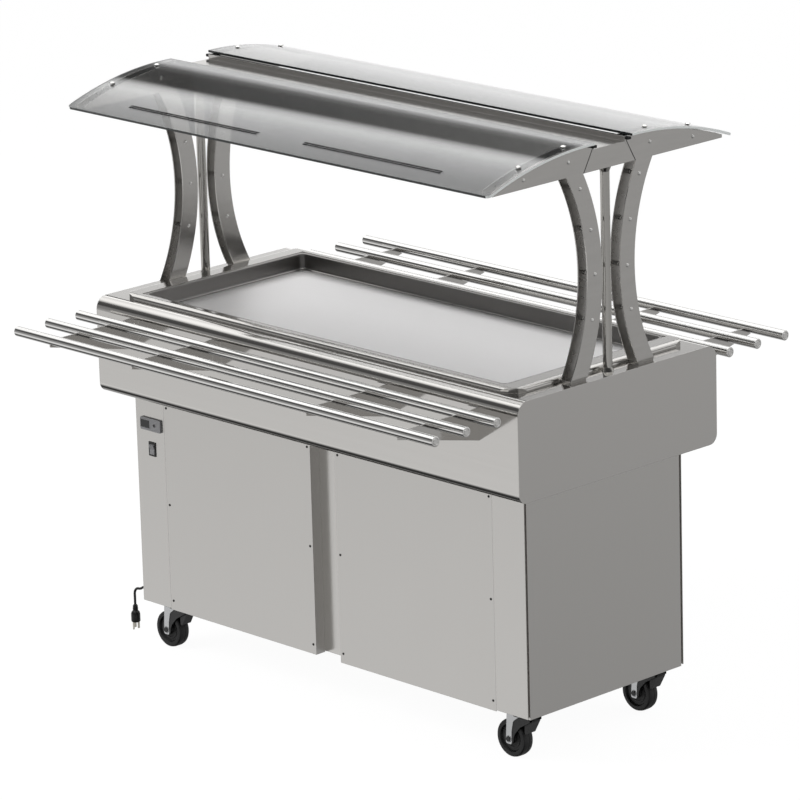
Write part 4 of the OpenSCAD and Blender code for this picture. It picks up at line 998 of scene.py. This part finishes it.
class SALADBAR_OT_controls(Operator):
    """Make the thermostat, the switch and its rocker"""

    bl_idname = "salad_bar.controls"
    bl_label = "Controls"

    def execute(self, context):
        give(window_gloss(), "thermostat_display")
        give(housing_plastic(), "thermostat_housing")
        give(black_plastic(), "thermostat_button")
        give(black_plastic(), "switch_frame")
        give(housing_plastic(), "rocker")
        # Raised bezel round the display and a ring round the button
        low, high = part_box("thermostat_display")
        face = low.y
        outer = box_outline(low.x - 0.0022, high.x + 0.0022, low.z - 0.0022, high.z + 0.0022, 0.0012, 3)
        inner = box_outline(low.x - 0.0004, high.x + 0.0004, low.z - 0.0004, high.z + 0.0004, 0.0005, 3)
        bezel = self.frame_of(outer, inner, face - 0.0005, face + 0.0004)
        new_object("display_bezel", bezel, housing_plastic(), "cart")
        centre = middle("thermostat_button")
        verts, faces = lathe([(0.0052, -0.0004), (0.0052, 0.0004), (0.0048, 0.0007), (0.0042, 0.0006),
                              (0.0039, 0.0), (0.0039, -0.0004)], (centre.x, face, centre.z), (0, -1, 0), 28)
        # The ring stays open at both ends, round the button
        new_object("button_ring", (verts, faces[:-2]), housing_plastic(), "cart")
        return {"FINISHED"}

    def frame_of(self, outer, inner, front, rear):
        """A flat frame between two outlines in X and Z, open on its rear."""
        rings = ((inner, rear), (inner, front), (outer, front + 0.0002), (outer, rear))
        verts = [(p[0], y, p[1]) for outline, y in rings for p in outline]
        return loft(verts, len(outer), first=False, last=False)


class SALADBAR_OT_castors(Operator):
    """Make the wheels, pedals and fork straps of the castors"""

    bl_idname = "salad_bar.castors"
    bl_label = "Castors"

    def execute(self, context):
        give(zinc_plate(), "caster_plates")
        for corner in CORNERS:
            give(coated_steel(), "fork_" + corner)
            give(black_plastic(), "pedal_" + corner)
            low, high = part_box("wheel_" + corner)
            axle = (low + high) / 2
            self.wheel(corner, axle, (high.z - low.z) / 2)
            self.straps(corner, axle)
            self.pad(corner, axle)
        return {"FINISHED"}

    def wheel(self, corner, centre, r):
        """Tyre with a moulding groove on a dished disc with a raised ring and a hub."""
        half = 0.016
        # The disc's rings are drawn for a wheel of 45 mm radius
        grow = r / 0.045
        groove = sizes().tread_groove / 2
        side = [(0.0042, -0.0180), (0.0105, -0.0180), (0.0112, -0.0174), (0.0118, -0.0150), (0.0140, -0.0112),
                (0.0200, -0.0100), (0.0206, -0.0112), (0.0246, -0.0112), (0.0252, -0.0100), (0.0300, -0.0102),
                (0.0322, -0.0150), (0.0330, -half), (0.0385, -half), (0.0415, -half + 0.0006)]
        side = [(x * grow if x > 0.015 else x, z) for x, z in side]
        side += [(r - 0.0014, -half + 0.0030), (r - 0.0002, -half + 0.0075), (r, -0.0040), (r, -groove * 2)]
        profile = side + [(r - 0.0007, -groove), (r - 0.0007, groove)] + [(x, -z) for x, z in reversed(side)]
        new_object("tyre_and_disc_" + corner, lathe(profile, centre, (0, 1, 0), 72), tyre_rubber(),
                   "roller_" + corner, 28.0, replaces=("wheel_" + corner,))

    def straps(self, corner, axle):
        """Pressed ribs on the fork's legs and a washer under each axle nut."""
        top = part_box("fork_" + corner)[1].z - 0.0085
        wall = 0.021
        outline = rounded([(axle.x - 0.0095, axle.z - 0.0125), (axle.x + 0.0095, axle.z - 0.0125),
                           (axle.x + 0.0100, axle.z + 0.02), (axle.x + 0.0160, top - 0.012),
                           (axle.x + 0.0400, top + 0.006), (axle.x - 0.0055, top + 0.006)], 0.005, 5)
        shapes = []
        for side in (-1, 1):
            low, high = sorted((axle.y + side * wall, axle.y + side * (wall + 0.0011)))
            shapes.append(prism(outline, low, high, "Y", 0.0004))
            shapes.append(lathe([(0.0085, 0.0009), (0.0085, 0.0017), (0.0080, 0.0020), (0.0071, 0.0020)],
                                (axle.x, axle.y + side * wall, axle.z), (0, side, 0), 28))
        new_object("fork_ribs_" + corner, join(shapes), zinc_plate(), "swivel_" + corner)

    def pad(self, corner, axle):
        """Grip ribs across the top of the brake pedal."""
        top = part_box("pedal_" + corner)[1].z
        shapes = []
        for k in range(4):
            x = axle.x + 0.0632 + k * 0.0024
            rib = box_outline(x - 0.0006, x + 0.0006, axle.y - 0.0115, axle.y + 0.0115, 0.0005, 2)
            shapes.append(prism(rib, top - 0.0006, top + 0.0006, "Z", 0.0002))
        new_object("pedal_grip_" + corner, join(shapes), black_plastic(), "brake_" + corner)


class SALADBAR_OT_cooling(Operator):
    """Finish the cooling unit inside the body"""

    bl_idname = "salad_bar.cooling"
    bl_label = "Cooling Unit"

    def execute(self, context):
        give(copper(), "evaporator_coil", "refrigerant_pipes")
        give(foam(), "insulation")
        give(enamel(), "compressor", "fan_motor")
        give(fins(), "condenser_coil")
        give(black_plastic(), "fan_blade")
        return {"FINISHED"}


OPERATORS = (
    SALADBAR_OT_stage, SALADBAR_OT_cord, SALADBAR_OT_sheet_steel, SALADBAR_OT_well, SALADBAR_OT_rails,
    SALADBAR_OT_guard, SALADBAR_OT_glass, SALADBAR_OT_controls, SALADBAR_OT_castors, SALADBAR_OT_cooling,
)


class SALADBAR_PT_panel(Panel):
    """Lists the steps that dress the salad bar"""

    bl_idname = "SALADBAR_PT_panel"
    bl_label = "Salad Bar"
    bl_space_type = "VIEW_3D"
    bl_region_type = "UI"
    bl_category = "Salad Bar"

    def draw(self, context):
        layout = self.layout
        for operator in OPERATORS:
            layout.operator(operator.bl_idname)
        for group in (context.scene.salad_bar_sizes, context.scene.salad_bar_colours):
            for name in group.__annotations__:
                layout.prop(group, name)


CLASSES = (SaladBarSizes, SaladBarColours) + OPERATORS + (SALADBAR_PT_panel,)


def register():
    for item in CLASSES:
        bpy.utils.register_class(item)
    bpy.types.Scene.salad_bar_sizes = PointerProperty(type=SaladBarSizes)
    bpy.types.Scene.salad_bar_colours = PointerProperty(type=SaladBarColours)


def unregister():
    del bpy.types.Scene.salad_bar_colours
    del bpy.types.Scene.salad_bar_sizes
    for item in reversed(CLASSES):
        bpy.utils.unregister_class(item)


def main():
    register()
    for operator in OPERATORS:
        group, name = operator.bl_idname.split(".")
        getattr(getattr(bpy.ops, group), name)()


if __name__ == "__main__":
    main()
